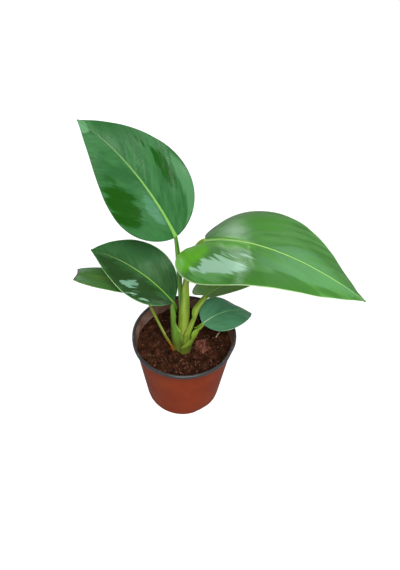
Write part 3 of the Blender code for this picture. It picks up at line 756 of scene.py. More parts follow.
    def drill(self, made: bpy.types.Object, angle: float) -> None:
        """Adds the cut of one drain hole."""
        bm = bmesh.new()
        place = (self.drain_circle * math.cos(angle), self.drain_circle * math.sin(angle), 0)
        bmesh.ops.create_cone(
            bm,
            cap_ends=True,
            segments=32,
            radius1=self.drain_radius,
            radius2=self.drain_radius,
            depth=6 * self.wall,
            matrix=Matrix.Translation(place),
        )
        mesh = bpy.data.meshes.new("drain_cutter")
        bm.to_mesh(mesh)
        bm.free()
        cutter = bpy.data.objects.new("drain_cutter", mesh)
        bpy.context.scene.collection.objects.link(cutter)
        step = made.modifiers.new("drain", "BOOLEAN")
        step.operation = "DIFFERENCE"
        step.object = cutter


# --- Potting mix -------------------------------------------------------------------------------------
@dataclass(frozen=True)
class Clod:
    """A loose clod half sunk in the mix."""

    name: str
    x: float
    y: float
    size: float
    seed: int


@dataclass(frozen=True)
class PottingMix:
    """The coir and peat in the pot, with its crumbs, chips, fibres, clods and the straw on it."""

    pot: Pot
    headspace: float = 0.018
    lump: float = 2.2 * MM
    lump_wide: float = 0.011
    lump_fine: float = 0.0055
    fine_share: float = 0.6
    dip: float = 2.0 * MM
    dip_reach: float = 0.020
    foot_clear: float = 2.0 * MM
    fan: tuple[float, float] = (-0.003, -0.001)
    rings: int = 84
    steps: int = 216
    straw_place: tuple[float, float] = (0.0395, 0.0135)
    straw_length: float = 0.0095
    straw_radius: float = 0.6 * MM
    straw_turn: float = 62.0
    straw_bend: float = 0.4 * MM
    straw_sides: int = 14
    reddish_from: float = 6 * MM
    clods: tuple[Clod, ...] = (
        Clod("clod_large", 0.0215, -0.004, 8.4 * MM, 3),
        Clod("clod_beside", 0.0140, -0.0170, 4.6 * MM, 7),
        Clod("clod_right", 0.0370, -0.016, 4.6 * MM, 12),
        Clod("clod_front", -0.008, -0.034, 4.2 * MM, 19),
        Clod("clod_left", -0.030, -0.014, 4.4 * MM, 23),
    )

    @property
    def level(self) -> float:
        """The height of the mix."""
        return self.pot.height - self.headspace

    def lumps(self, x: float, y: float) -> float:
        """The height of the mix's larger lumps, as in the CAD model."""
        away = math.hypot(x - self.fan[0], y - self.fan[1])
        dip = self.dip * math.exp(-((away / self.dip_reach) ** 2))
        wide = noise.noise(Vector((x, y, 0.0)) / self.lump_wide)
        fine = noise.noise(Vector((x, y, 0.03)) / self.lump_fine)
        return self.level - dip + self.lump * (wide + self.fine_share * fine)

    def surface(self, x: float, y: float) -> float:
        """The height of the finished surface, with clumps, pits and grains."""
        spot = Vector((x, y, 0.0))
        clump = noise.noise(spot / 0.0042 + Vector((3, 1, 0)))
        pit = min(0.0, noise.noise(spot / 0.0030 + Vector((0, 9, 4))) + 0.15)
        grain = noise.noise(spot / 0.0016) + 0.5 * noise.noise(spot / 0.0008 + Vector((5, 5, 5)))
        hollow = -2.2 * math.exp(-(((x - 0.004) / 0.011) ** 2) - (((y + 0.021) / 0.006) ** 2))
        return self.lumps(x, y) + (1.5 * clump + 3.2 * pit + 0.4 * grain + hollow) * MM

    def build(self) -> None:
        """Makes the mix and everything loose on it."""
        earth = EarthFinish("earth").build()
        edge = self.pot.inside_radius(self.level) - 0.1 * MM
        points = [(0.0, 0.0, self.surface(0, 0))]
        rings = []
        for index in range(1, self.rings + 1):
            radius = edge * index / self.rings
            ring = []
            for step in range(self.steps):
                angle = 2 * math.pi * step / self.steps
                ring.append(len(points))
                x, y = radius * math.cos(angle), radius * math.sin(angle)
                height = self.surface(x, y)
                wall = self.pot.inside_radius(min(height, self.level))
                wall += self.pot.uneven(angle, height)
                room = (wall - 0.1 * MM) / edge
                points.append((x * room, y * room, height))
            rings.append(ring)
        top_count = len(points)
        faces = [(0, rings[0][i], rings[0][(i + 1) % self.steps]) for i in range(self.steps)]
        for near, far in zip(rings, rings[1:]):
            faces += strip(near, far)
        top_faces = list(faces)
        foot_inside = self.pot.inside_radius(self.pot.foot_round) - self.foot_clear
        below = (
            (self.pot.inside_radius(self.level / 2) - self.foot_clear, self.level / 2),
            (foot_inside, self.pot.foot_round + GAP),
            (foot_inside - self.pot.foot_round, self.pot.wall + GAP),
        )
        for radius, height in below:
            ring = []
            for step in range(self.steps):
                angle = 2 * math.pi * step / self.steps
                ring.append(len(points))
                points.append((radius * math.cos(angle), radius * math.sin(angle), height))
            faces += strip(rings[-1], ring)
            rings.append(ring)
        faces.append(rings[-1])
        made = link("mix_body", grid_mesh("mix_body", np.array(points), faces, {}), earth)
        enlist(made, Slot.MIX, "potting_mix")
        self.scatter(np.array(points[:top_count]), top_faces)
        self.build_clods()
        self.build_straw()

    def scatter(self, points: np.ndarray, faces: list) -> None:
        """Strews crumbs, chunks and fibres over the mix's top."""
        crumb = EarthFinish(
            "crumb_earth", dry=linear(112, 72, 54), dry_from=0.70, use_tone=True
        ).build()
        chunk = EarthFinish(
            "chunk_earth",
            dark=linear(66, 38, 28),
            dry=linear(116, 74, 58),
            dry_from=0.50,
            use_tone=True,
        ).build()
        fibre = FibreFinish("coir_fibre", linear(205, 170, 130), linear(120, 80, 56)).build()
        kinds = (
            Strewn("crumbs", StrewnKind.LUMP, 2.2e5, 0.4 * MM, 1.1 * MM, 11, crumb, 1),
            Strewn("chunks", StrewnKind.LUMP, 4.6e4, 0.9 * MM, 3.0 * MM, 5, chunk, 2),
            Strewn("fibres", StrewnKind.FIBRE, 1.5e4, 2.0 * MM, 6.5 * MM, 8, fibre, 1),
        )
        for kind in kinds:
            inner = self.pot.inside_radius(self.level) - 0.8 * kind.largest
            clear = np.hypot(points[:, 0], points[:, 1]) < inner
            kind.build(points, [face for face in faces if all(clear[list(face)])])

    def build_clods(self) -> None:
        """Makes the loose clods, each a rough lump with crumbs standing out of it."""
        reddish = EarthFinish(
            "clod_earth",
            wet=linear(40, 20, 15),
            dark=linear(100, 58, 46),
            dry=linear(172, 112, 90),
            dry_from=0.30,
            grain=620.0,
        ).build()
        brown = EarthFinish(
            "dark_clod_earth",
            wet=linear(36, 19, 12),
            dark=linear(70, 40, 28),
            dry=linear(120, 76, 58),
            dry_from=0.45,
            grain=700.0,
        ).build()
        for clod in self.clods:
            material = reddish if clod.size > self.reddish_from else brown
            bm = bmesh.new()
            bmesh.ops.create_icosphere(bm, subdivisions=5, radius=1.0)
            spot = Vector((clod.x, clod.y, self.lumps(clod.x, clod.y) + 0.25 * clod.size))
            for vert in bm.verts:
                way = vert.co.normalized()
                rough = 1 + 0.30 * noise.noise(way * 1.3 + Vector((clod.seed, 0, 0)))
                rough += 0.12 * noise.noise(way * 3.1 + Vector((0, clod.seed, 0)))
                crumbs = noise.voronoi(way * 2.4 + Vector((0, 0, clod.seed)))[0]
                grit = noise.voronoi(way * 6.0 + Vector((clod.seed, 4, 0)))[0]
                rough += 0.55 * (crumbs[1] - crumbs[0] - 0.3) + 0.22 * (grit[1] - grit[0] - 0.25)
                rough += 0.05 * noise.noise(way * 15.0)
                vert.co = spot + Vector((way.x, way.y, way.z * 0.75)) * (clod.size * rough)
            mesh = bpy.data.meshes.new(clod.name + "_lump")
            bm.to_mesh(mesh)
            bm.free()
            enlist(link(clod.name + "_lump", mesh, material), Slot.CLOD, clod.name)

    def build_straw(self) -> None:
        """Makes the short pale straw, a little bent and pinched at its ends."""
        x, y = self.straw_place
        turn = math.radians(self.straw_turn)
        run = np.array([math.cos(turn), math.sin(turn), 0.0])
        aside = np.array([-math.sin(turn), math.cos(turn), 0.0])
        shares = np.linspace(-0.5, 0.5, 21)
        spots = [np.array([x, y, 0.0]) + run * self.straw_length * share for share in shares]
        lift = max(self.lumps(spot[0], spot[1]) for spot in spots) + self.straw_radius + 2 * GAP
        points, rings = [], []
        for spot, share in zip(spots, shares):
            place = spot + np.array([0, 0, lift]) + aside * self.straw_bend * math.cos(3 * share)
            pinch = 0.25 * smooth(abs(share) * 4 - 1.4)
            ring = []
            for step in range(self.straw_sides):
                angle = 2 * math.pi * step / self.straw_sides
                radius = self.straw_radius * (1 + 0.06 * math.cos(3 * angle) - pinch)
                ring.append(len(points))
                across = aside * radius * math.cos(angle)
                points.append(place + across + np.array([0, 0, radius * 0.85 * math.sin(angle)]))
            rings.append(ring)
        faces = [rings[0][::-1], rings[-1]]
        for near, far in zip(rings, rings[1:]):
            faces += strip(near, far)
        material = FibreFinish("straw_dry", linear(214, 190, 160), linear(170, 140, 108)).build()
        mesh = grid_mesh("straw_piece", np.array(points), faces, {})
        enlist(link("straw_piece", mesh, material), Slot.STRAW, "straw")


VARIANTS = 4  # shapes of each kind of strewn thing
THREAD_TILT = 0.22  # how far a thread leans out of the surface, in radians
MOSTLY_SMALL = 2.2  # the power that makes small things commoner than large ones


class StrewnKind(Enum):
    """What is strewn over the mix."""

    LUMP = "lump"
    FIBRE = "fibre"


@dataclass(frozen=True)
class Strewn:
    """Many small loose things on a surface, placed by a Geometry Nodes tree with a fixed seed."""

    name: str
    kind: StrewnKind
    density: float
    smallest: float
    largest: float
    seed: int
    material: bpy.types.Material
    fineness: int

    def build(self, points: np.ndarray, faces: list) -> bpy.types.Object:
        """Strews them over a surface.

        Args:
            points: the surface's points.
            faces: its faces.

        Returns:
            The finished piece.
        """
        made = link("mix_" + self.name, grid_mesh("mix_" + self.name, points, faces, {}), None)
        tree = self.tree()
        step = made.modifiers.new("strew", "NODES")
        step.node_group = tree
        values = {
            "Density": self.density,
            "Smallest": self.smallest,
            "Largest": self.largest,
            "Seed": self.seed,
            "Finish": self.material,
        }
        for item in tree.interface.items_tree:
            if item.item_type == "SOCKET" and item.in_out == "INPUT" and item.name in values:
                step[item.identifier] = values[item.name]
        settle(made)
        enlist(made, Slot.MIX)
        return made

    def tree(self) -> bpy.types.NodeTree:
        """The Geometry Nodes tree."""
        tree = bpy.data.node_groups.new("strew_" + self.name, "GeometryNodeTree")
        sockets = (
            ("Surface", "NodeSocketGeometry"),
            ("Density", FLOAT),
            ("Smallest", FLOAT),
            ("Largest", FLOAT),
            ("Seed", "NodeSocketInt"),
            ("Finish", "NodeSocketMaterial"),
        )
        for label, kind in sockets:
            tree.interface.new_socket(label, in_out="INPUT", socket_type=kind)
        tree.interface.new_socket("Strewn", in_out="OUTPUT", socket_type="NodeSocketGeometry")
        w = Wiring(tree)
        given, put = w.node("NodeGroupInput"), w.node("NodeGroupOutput")
        spread = w.node("GeometryNodeDistributePointsOnFaces", distribute_method="RANDOM")
        w.feed(spread.inputs["Mesh"], given.outputs["Surface"])
        w.feed(spread.inputs["Density"], given.outputs["Density"])
        w.feed(spread.inputs["Seed"], given.outputs["Seed"])
        shapes = w.node("GeometryNodeJoinGeometry")
        make = self.lump if self.kind is StrewnKind.LUMP else self.thread
        for variant in range(VARIANTS):
            shape = make(w, variant)
            single = w.node("GeometryNodeGeometryToInstance")
            w.feed(single.inputs[0], shape)
            w.feed(shapes.inputs[0], single.outputs[0])
        place = w.node("GeometryNodeInstanceOnPoints")
        w.feed(place.inputs["Points"], spread.outputs["Points"])
        w.feed(place.inputs["Instance"], shapes.outputs[0])
        place.inputs["Pick Instance"].default_value = True
        w.feed(place.inputs["Instance Index"], self.chance(w, given, "INT", 0, VARIANTS - 1, 1))
        whole = 2 * math.pi
        tilt = whole if self.kind is StrewnKind.LUMP else THREAD_TILT
        lowest, highest = (-tilt, -tilt, 0.0), (tilt, tilt, whole)
        turn = self.chance(w, given, "FLOAT_VECTOR", lowest, highest, 2)
        w.feed(place.inputs["Rotation"], turn)
        size = self.chance(w, given, "FLOAT", 0.0, 1.0, 3)
        w.feed(place.inputs["Scale"], self.span(w, given, w.maths("POWER", size, MOSTLY_SMALL)))
        tone = w.node("GeometryNodeStoreNamedAttribute", data_type="FLOAT", domain="INSTANCE")
        w.feed(tone.inputs["Geometry"], place.outputs[0])
        tone.inputs["Name"].default_value = "tone"
        w.feed(tone.inputs["Value"], self.chance(w, given, "FLOAT", 0.0, 1.0, 4))
        real = w.node("GeometryNodeRealizeInstances")
        w.feed(real.inputs[0], tone.outputs[0])
        dress = w.node("GeometryNodeSetMaterial")
        w.feed(dress.inputs["Geometry"], real.outputs[0])
        w.feed(dress.inputs["Material"], given.outputs["Finish"])
        w.feed(put.inputs[0], dress.outputs[0])
        return tree

    @staticmethod
    def chance(w: Wiring, given: bpy.types.Node, kind: str, low: Any, high: Any, salt: int) -> Socket:
        """A random value from low to high, its seed the tree's Seed plus SALT."""
        made = w.node("FunctionNodeRandomValue", data_type=kind)
        live = [socket for socket in made.inputs if socket.enabled]
        live[0].default_value, live[1].default_value = low, high
        w.feed(made.inputs["Seed"], w.maths("ADD", given.outputs["Seed"], float(salt)))
        return next(socket for socket in made.outputs if socket.enabled)

    @staticmethod
    def span(w: Wiring, given: bpy.types.Node, share: Socket) -> Socket:
        """A size from Smallest to Largest."""
        made = w.node("ShaderNodeMapRange")
        w.feed(made.inputs["Value"], share)
        w.feed(made.inputs["To Min"], given.outputs["Smallest"])
        w.feed(made.inputs["To Max"], given.outputs["Largest"])
        return made.outputs["Result"]

    def lump(self, w: Wiring, variant: int) -> Socket:
        """A rough angular crumb about 2 across."""
        ball = w.node("GeometryNodeMeshIcoSphere")
        ball.inputs["Subdivisions"].default_value = self.fineness
        where = w.node("GeometryNodeInputPosition").outputs[0]
        rough = w.node("ShaderNodeTexNoise", noise_dimensions="4D")
        w.feed(rough.inputs["Vector"], where)
        rough.inputs["W"].default_value = 3.7 * variant + self.seed
        rough.inputs["Scale"].default_value = 0.9
        push = w.maths("MULTIPLY_ADD", rough.outputs["Fac"], 1.9, -0.15)
        shaped = w.node("ShaderNodeVectorMath", operation="MULTIPLY")
        w.feed(shaped.inputs[0], where)
        squash = (1.0, 0.62 + 0.1 * variant, 0.5 + 0.12 * (variant % 3))
        w.feed(shaped.inputs[1], w.vector(*(w.times(push, part) for part in squash)))
        move = w.node("GeometryNodeSetPosition")
        w.feed(move.inputs["Geometry"], ball.outputs["Mesh"])
        w.feed(move.inputs["Position"], shaped.outputs[0])
        return move.outputs[0]

    def thread(self, w: Wiring, variant: int) -> Socket:
        """A thin bent thread about 1 long, lying in the plane."""
        bend = (0.22, -0.35, 0.5, -0.12)[variant]
        curve = w.node("GeometryNodeCurveQuadraticBezier")
        curve.inputs["Resolution"].default_value = 7
        curve.inputs["Start"].default_value = (-0.5, 0.0, 0.03)
        curve.inputs["Middle"].default_value = (0.05, bend, 0.16)
        curve.inputs["End"].default_value = (0.5, 0.1 * variant - 0.15, 0.02)
        ring = w.node("GeometryNodeCurvePrimitiveCircle")
        ring.inputs["Resolution"].default_value = 3
        ring.inputs["Radius"].default_value = 0.026
        solid = w.node("GeometryNodeCurveToMesh")
        w.feed(solid.inputs["Curve"], curve.outputs[0])
        w.feed(solid.inputs["Profile Curve"], ring.outputs[0])
        solid.inputs["Fill Caps"].default_value = True
        return solid.outputs[0]


# --- Plant -------------------------------------------------------------------------------------------
RUFFLE_LENGTH = 0.6  # one ruffle's length, as a share of the blade's
RIB_TIP, RIB_TAPER = 0.4 * MM, 0.38  # half the midrib's width at the tip, and how soon it narrows
SHEET = 0.45 * MM  # a blade's thickness away from its midrib
PLEATS, WAVES, RIM_WAVES = (0.0036, 0.09), (0.022, 0.045), (0.012, 1.0)  # across and along the veins
LOOSE_CLASP = 58  # a sheath's half-angle while it draws together into a rod
CLOSING_START = 0.9  # how far a very narrow sheath is drawn together before its edges roll in
CLOSING_SPREAD = 130  # the wider a sheath is open, the sooner its edges roll in
CLOSING_LEAST = 0.1
ROD_CLASP = 150  # how far round a stalk's rod the rind goes; the rest is its groove
END_CLASP = 110  # the same where the groove opens into the blade
GROOVE_SHARE = 0.28  # the groove's radius against the stalk's
ROD_WALL_SHARE = 1.1  # the rod's wall against the stalk's radius
SHEATH_EDGE, ROD_EDGE = 0.35, 0.8  # a section's thickness at its two edges against its keel's


@dataclass(frozen=True)
class Half:
    """How one half of a blade is held, its veins' slant, and the waves in it."""

    lift: tuple[float, float]
    curl: tuple[float, float]
    slant: float = 1.2
    wave: float = 0.5 * MM
    ruffle: float = 0.0
    ruffle_at: float = 0.3


@dataclass(frozen=True)
class Crease:
    """A raised line across one half: side 1 is right and -1 left, its foot in metres from the base."""

    side: int
    foot: float
    width: float
    height: float
    start: float = 0.0
    end: float = 1.0
    slant: float = 1.15


@dataclass(frozen=True)
class Fan:
    """What the sheaths share: the fan's axis, the mix's level, and how the rings widen above it."""

    x: float = -0.003
    y: float = -0.001
    mix_level: float = 0.087
    crown_depth: float = 0.008
    flare: float = 0.12
    flare_height: float = 0.030

    @property
    def sheath_foot(self) -> float:
        """The height at which the sheaths start."""
        return self.mix_level - self.crown_depth + GAP

    def scale(self, height: float) -> float:
        """How much wider the rings are at that height."""
        return float(1 + self.flare * smooth((height - self.mix_level) / self.flare_height))


@dataclass(frozen=True)
class Leaf:
    """One leaf: its stalk, whose foot sheathes the younger stalks, and the blade on the stalk's end."""

    name: str
    keel: float
    ring_inner: float
    ring_wall: float
    clasp: float
    open_clasp: float
    sheath_height: float
    stalk_radius: float
    blade_base: tuple[float, float, float]
    lean: float
    stalk_reach: float
    end_rise: float
    end_reach: float
    length: float
    half_width: float
    widest: float
    azimuth: float
    swing: float
    rise: float
    droop: float
    bank: float
    twist: float
    base_sweep: float
    tip_sweep: float
    tip_power: float
    right: Half
    left: Half
    blade_finish: BladeFinish
    stalk_finish: StalkFinish
    blade_slot: Slot = Slot.BLADE
    stalk_slot: Slot = Slot.STALK
    vein_curve: float = 6.0
    blunt_end: float = 0.0
    rows: int = 110
    columns: int = 26
    seed: int = 1
    hold: float = 1.0
    rib_base: float = 1.8 * MM
    creases: tuple[Crease, ...] = ()
    fan: Fan = field(default_factory=Fan)

    # The blade's frame and outline follow the CAD model's own rules.
    def way(self, s: float) -> np.ndarray:
        """The midrib's direction at a share of its length."""
        return heading(self.azimuth + self.swing * s, self.rise - self.droop * s**1.15)

    def frames(
        self, shares: Iterable[float]
    ) -> list[tuple[np.ndarray, np.ndarray, np.ndarray, np.ndarray]]:
        """The midrib's point, direction, right-hand side and upper normal at each share."""
        fine = np.linspace(0, 1, 161)
        ways = np.array([self.way(s) for s in fine])
        steps = (ways[1:] + ways[:-1]) / 2 * (self.length / (len(fine) - 1))
        line = np.vstack([np.zeros(3), np.cumsum(steps, axis=0)]) + np.array(self.blade_base)
        found = []
        for s in shares:
            point = np.array([np.interp(s, fine, line[:, k]) for k in range(3)])
            way = self.way(s)
            level = unit(np.cross(way, (0, 0, 1)))
            roll = math.radians(self.bank + self.twist * s)
            side = level * math.cos(roll) + np.cross(level, way) * math.sin(roll)
            found.append((point, way, side, np.cross(side, way)))
        return found

    def half_length(self, s: float) -> float:
        """The length of a row of veins from the midrib to the margin."""
        at = min(max(s + 0.004, 0.0), 1.0)
        base = self.tip_power * self.widest / (1 - self.widest)
        peak = self.widest**base * (1 - self.widest) ** self.tip_power
        shape = at**base * (1 - min(s * (1 - self.blunt_end), 0.997)) ** self.tip_power / peak
        return max(self.half_width * shape, 0.8 * MM)

    def half_row(self, s: float, cut: tuple, half: Half, sign: int, outs: np.ndarray) -> np.ndarray:
        """Points along one row, from the midrib towards the margin.

        Args:
            s: the row's share of the blade's length.
            cut: the midrib's frame there.
            half: how this half is held.
            sign: 1 for the right half and -1 for the left.
            outs: shares of the row's length.

        Returns:
            One point for each share.
        """
        point, way, side, normal = cut
        reach = self.half_length(s)
        fine = np.linspace(0, 1, 41)
        lift = mixed(half.lift[0], half.lift[1], s)
        lift += half.ruffle * math.cos(2 * math.pi * (s - half.ruffle_at) / RUFFLE_LENGTH)
        tilt = np.radians(lift + mixed(half.curl[0], half.curl[1], s) * fine)
        clear = np.minimum(fine * reach / (3 * self.stalk_radius), 1.0)
        back = self.base_sweep * (1 - s) ** 3 * clear * clear * (3 - 2 * clear)
        sweep = np.radians(self.tip_sweep * s - back + self.vein_curve * fine)
        ways = np.outer(np.cos(tilt) * np.cos(sweep), side * sign)
        ways += np.outer(np.cos(tilt) * np.sin(sweep), way) + np.outer(np.sin(tilt), normal)
        steps = (ways[1:] + ways[:-1]) / 2 * (reach / (len(fine) - 1))
        line = np.vstack([np.zeros(3), np.cumsum(steps, axis=0)]) + point
        return np.array([[np.interp(out, fine, line[:, k]) for k in range(3)] for out in outs])

    def rib_half_width(self, s: float) -> float:
        """Half the midrib's width there."""
        return mixed(self.rib_base, RIB_TIP, s**RIB_TAPER)

    def thickness(self, s: float, out: np.ndarray, edge: np.ndarray) -> np.ndarray:
        """The blade's thickness: a round midrib below, then thin to a fine margin."""
        rib = self.rib_half_width(s) * 1.5
        keel = mixed(self.stalk_radius * 1.3, 0.6 * MM, s**0.55)
        sheet = SHEET * (1 - 0.55 * smooth((edge - 0.8) / 0.2))
        return sheet + keel * np.exp(-((out / rib) ** 2) * 1.6)

    def relief(
        self, s: float, sign: int, half: Half, out: np.ndarray, edge: np.ndarray, vein: np.ndarray
    ) -> np.ndarray:
        """How far the upper face stands above its plain curve.

        Args:
            s: the row's share of the blade's length.
            sign: 1 for the right half and -1 for the left.
            half: how this half is held.
            out: each point's way out from the midrib.
            edge: the same as a share of the way to the margin.
            vein: each point's place across the veins.

        Returns:
            The height of the midrib's channel, the pleats, waves and creases at each point.
        """
        rib = self.rib_half_width(s)
        height = -0.42 * MM * np.exp(-((out / (0.55 * rib + 0.2 * MM)) ** 2))
        height += 0.20 * MM * np.exp(-(((out - 1.5 * rib) / rib) ** 2))
        swell = smooth(out / (6 * MM)) * smooth((1.02 - edge) / 0.25)
        pleat = self.ripple(vein, out, PLEATS, self.seed + sign)
        wave = self.ripple(vein, out, WAVES, self.seed * 3 + sign)
        rim = self.ripple(vein, 0 * out, RIM_WAVES, self.seed * 7 + sign)
        height += 0.22 * MM * pleat * swell + half.wave * 2.0 * wave * smooth(out / (10 * MM))
        height += 0.8 * half.wave * rim * smooth((edge - 0.7) / 0.3) * smooth(out / (5 * MM))
        for crease in self.creases:
            if crease.side != sign:
                continue
            foot = s * self.length - crease.slant * out
            ridge = crease.height * np.exp(-(((foot - crease.foot) / crease.width) ** 2))
            height += ridge * smooth((edge - crease.start) / 0.12) * smooth((crease.end - edge) / 0.15)
        return height

    @staticmethod
    def ripple(
        vein: np.ndarray, out: np.ndarray, size: tuple[float, float], seed: float
    ) -> np.ndarray:
        """Noise along a row: SIZE is how long its waves are across the veins and along them."""
        spots = zip(vein / size[0], out / size[1])
        return np.array([noise.noise(Vector((across, along, seed))) for across, along in spots])

    def build_blade(self) -> bpy.types.Object:
        """Makes the blade as one closed sheet and dresses it."""
        shares = np.linspace(0, 1, self.rows) ** 1.3
        outs = np.linspace(0, 1, self.columns)
        outs = mixed(outs, 0.5 - 0.5 * np.cos(math.pi * outs), 0.6)
        top, marks = [], {key: [] for key in ("vein", "out", "share", "edge", "rib")}
        thick = []
        for s, cut in zip(shares, self.frames(shares)):
            reach = self.half_length(s)
            row = {}
            for sign, half in ((1, self.right), (-1, self.left)):
                out = outs * reach
                vein = s * self.length - half.slant * out * (1 + 0.2 * outs)
                vein = vein / math.hypot(1, half.slant)
                places = self.half_row(s, cut, half, sign, outs)
                along = unit(cut[1])
                across = np.gradient(places, axis=0)
                normal = np.cross(across * sign, along)
                normal /= np.maximum(np.linalg.norm(normal, axis=1, keepdims=True), 1e-9)
                normal[0] = cut[3]
                places = places + normal * self.relief(s, sign, half, out, outs, vein)[:, None]
                row[sign] = (places, normal, out * sign, outs, vein, self.thickness(s, out, outs))
            join = {}
            for index in range(6):
                join[index] = np.concatenate([row[-1][index][:0:-1], row[1][index]])
            top.append((join[0], join[1]))
            thick.append(join[5])
            marks["vein"].append(join[4] / MM)
            marks["out"].append(join[2] / MM)
            marks["edge"].append(join[3])
            marks["share"].append(np.full(len(join[2]), s))
            marks["rib"].append(np.abs(join[2]) / self.rib_half_width(s))
        upper = np.array([places for places, _ in top])
        normals = np.array([normal for _, normal in top])
        lower = upper - normals * np.array(thick)[..., None]
        flat = {key: np.concatenate(values) for key, values in marks.items()}
        both = {key: np.concatenate([values, values]) for key, values in flat.items()}
        across = upper.shape[1]
        count = upper.shape[0] * across
        both["under"] = np.concatenate([np.zeros(count), np.ones(count)])
        points = np.vstack([upper.reshape(-1, 3), lower.reshape(-1, 3)])
        rows = [list(range(first, first + across)) for first in range(0, count, across)]
        faces = []
        for near, far in zip(rows, rows[1:]):
            quads = strip(near, far, closed=False)
            faces += quads
            faces += [tuple(number + count for number in quad[::-1]) for quad in quads]
            for end in (0, -1):
                face = (near[end], near[end] + count, far[end] + count, far[end])
                faces.append(face if end else face[::-1])
        for row in (rows[0], rows[-1]):
            faces += [(a, b, b + count, a + count) for a, b in zip(row, row[1:])]
        mesh = grid_mesh("blade_sheet_" + self.name, points, faces, both)
        made = link("blade_sheet_" + self.name, mesh, self.blade_finish.build())
        enlist(made, self.blade_slot, "blade_" + self.name)
        return made

    def stalk_line(self) -> list[tuple[np.ndarray, np.ndarray, float]]:
        """The stalk's centre from crown to blade: point, direction and share of the free part."""
        fan = self.fan
        release = fan.mix_level + self.sheath_height
        upright = np.array([0, 0, 1.0])
        blade_way = heading(self.azimuth, self.rise)
        start = np.array([fan.x, fan.y, release])
        end = np.array(self.blade_base) + blade_way * GAP
        span = float(np.linalg.norm(end - start))
        aside = math.degrees(math.atan2(end[1] - start[1], end[0] - start[0]))
        pull = heading(aside, 90 - self.lean) * span * self.stalk_reach
        arrive = heading(self.azimuth, self.end_rise) * span * self.end_reach
        low = np.arange(fan.sheath_foot, release - 0.4 * MM, 1.6 * MM)
        line = [(np.array([fan.x, fan.y, height]), upright, 0.0) for height in low]
        for t in np.linspace(0, 1, 64):
            a, b = 2 * t**3 - 3 * t**2 + 1, t**3 - 2 * t**2 + t
            c, d = -2 * t**3 + 3 * t**2, t**3 - t**2
            point = a * start + b * pull + c * end + d * arrive
            slope = (6 * t**2 - 6 * t) * (start - end)
            slope += (3 * t**2 - 4 * t + 1) * pull + (3 * t**2 - 2 * t) * arrive
            way = unit(mixed(upright, unit(slope), smooth(t / 0.3)))
            way = unit(mixed(way, blade_way, smooth((t - 0.7) / 0.3)))
            line.append((point, way, float(t)))
        return line

    def section(self, point: np.ndarray, share: float) -> tuple[float, float, float]:
        """The half-angle that the section spans, its inner radius and its wall at that place.

        The further it is from the fan's axis, the more the sheath has drawn together into a rod.
        """
        fan = self.fan
        scale = fan.scale(point[2])
        climb = (point[2] - fan.sheath_foot) / (fan.mix_level + self.sheath_height - fan.sheath_foot)
        away = math.hypot(point[0] - fan.x, point[1] - fan.y)
        core = self.stalk_radius * GROOVE_SHARE
        free = max(self.ring_inner * scale - core, 0.5 * MM)
        let_go = min(away / (self.hold * free), 1.0)
        if self.ring_inner < 2 * self.stalk_radius:
            let_go = max(let_go, float(smooth(share / 0.7)))
        clasp = mixed(self.clasp, self.open_clasp, smooth(climb))
        clasp = mixed(clasp, min(clasp, LOOSE_CLASP), smooth(let_go / 0.7))
        closing = max(CLOSING_START - self.open_clasp / CLOSING_SPREAD, CLOSING_LEAST)
        clasp = mixed(clasp, ROD_CLASP, smooth((let_go - closing) / (1 - closing)))
        clasp = mixed(clasp, END_CLASP, smooth((share - 0.85) / 0.15))
        inner = mixed(self.ring_inner * scale, core, let_go)
        wall = mixed(self.ring_wall * scale, ROD_WALL_SHARE * self.stalk_radius, smooth(let_go))
        wall *= mixed(1.0, 0.7, smooth((share - 0.6) / 0.4))
        return float(clasp), float(inner), float(wall)

    def build_stalk(self) -> bpy.types.Object:
        """Makes the stalk: its sheath round the younger stalks, and the grooved rod up to the blade."""
        outside, inside = np.linspace(-1, 1, 33), np.linspace(1, -1, 17)
        keel = heading(self.keel, 0)
        under = -self.frames([0.0])[0][3]
        points, rings = [], []
        marks = {key: [] for key in ("turn", "height", "lip")}
        for point, way, share in self.stalk_line():
            toward = unit(mixed(keel, under, smooth(share)))
            toward = unit(toward - way * np.dot(toward, way))
            across = np.cross(way, toward)
            clasp, inner, wall = self.section(point, share)
            horn = mixed(SHEATH_EDGE, ROD_EDGE, smooth(share * 1.5))
            free = 1 - smooth((share - 0.3) / 0.2)
            free *= smooth((point[2] - self.fan.mix_level - 14 * MM) / (16 * MM))
            ring = []
            turns = []
            for turn in outside:
                ribbed = 1 + 0.012 * math.cos(turn * 60)
                turns.append((turn, inner + wall * mixed(1.0, horn, turn**2) * ribbed))
            turns += [(turn, inner) for turn in inside]
            for turn, radius in turns:
                angle = math.radians(clasp * turn)
                ring.append(len(points))
                points.append(point + (toward * math.cos(angle) + across * math.sin(angle)) * radius)
                marks["turn"].append(turn)
                marks["height"].append(point[2])
                marks["lip"].append(float(smooth((abs(turn) - 0.90) / 0.08) * free))
            rings.append(ring)
        faces = [rings[0][::-1], rings[-1]]
        for below, above in zip(rings, rings[1:]):
            faces += strip(below, above)
        mesh = grid_mesh("stalk_rod_" + self.name, np.array(points), faces, marks)
        made = link("stalk_rod_" + self.name, mesh, self.stalk_finish.build())
        enlist(made, self.stalk_slot, "stalk_" + self.name)
        return made


STALK_GREEN = StalkFinish(
    name="stalk_green",
    light=linear(174, 200, 80),
    green=linear(124, 162, 38),
    deep=linear(80, 128, 30),
    foot=linear(108, 126, 44),
)


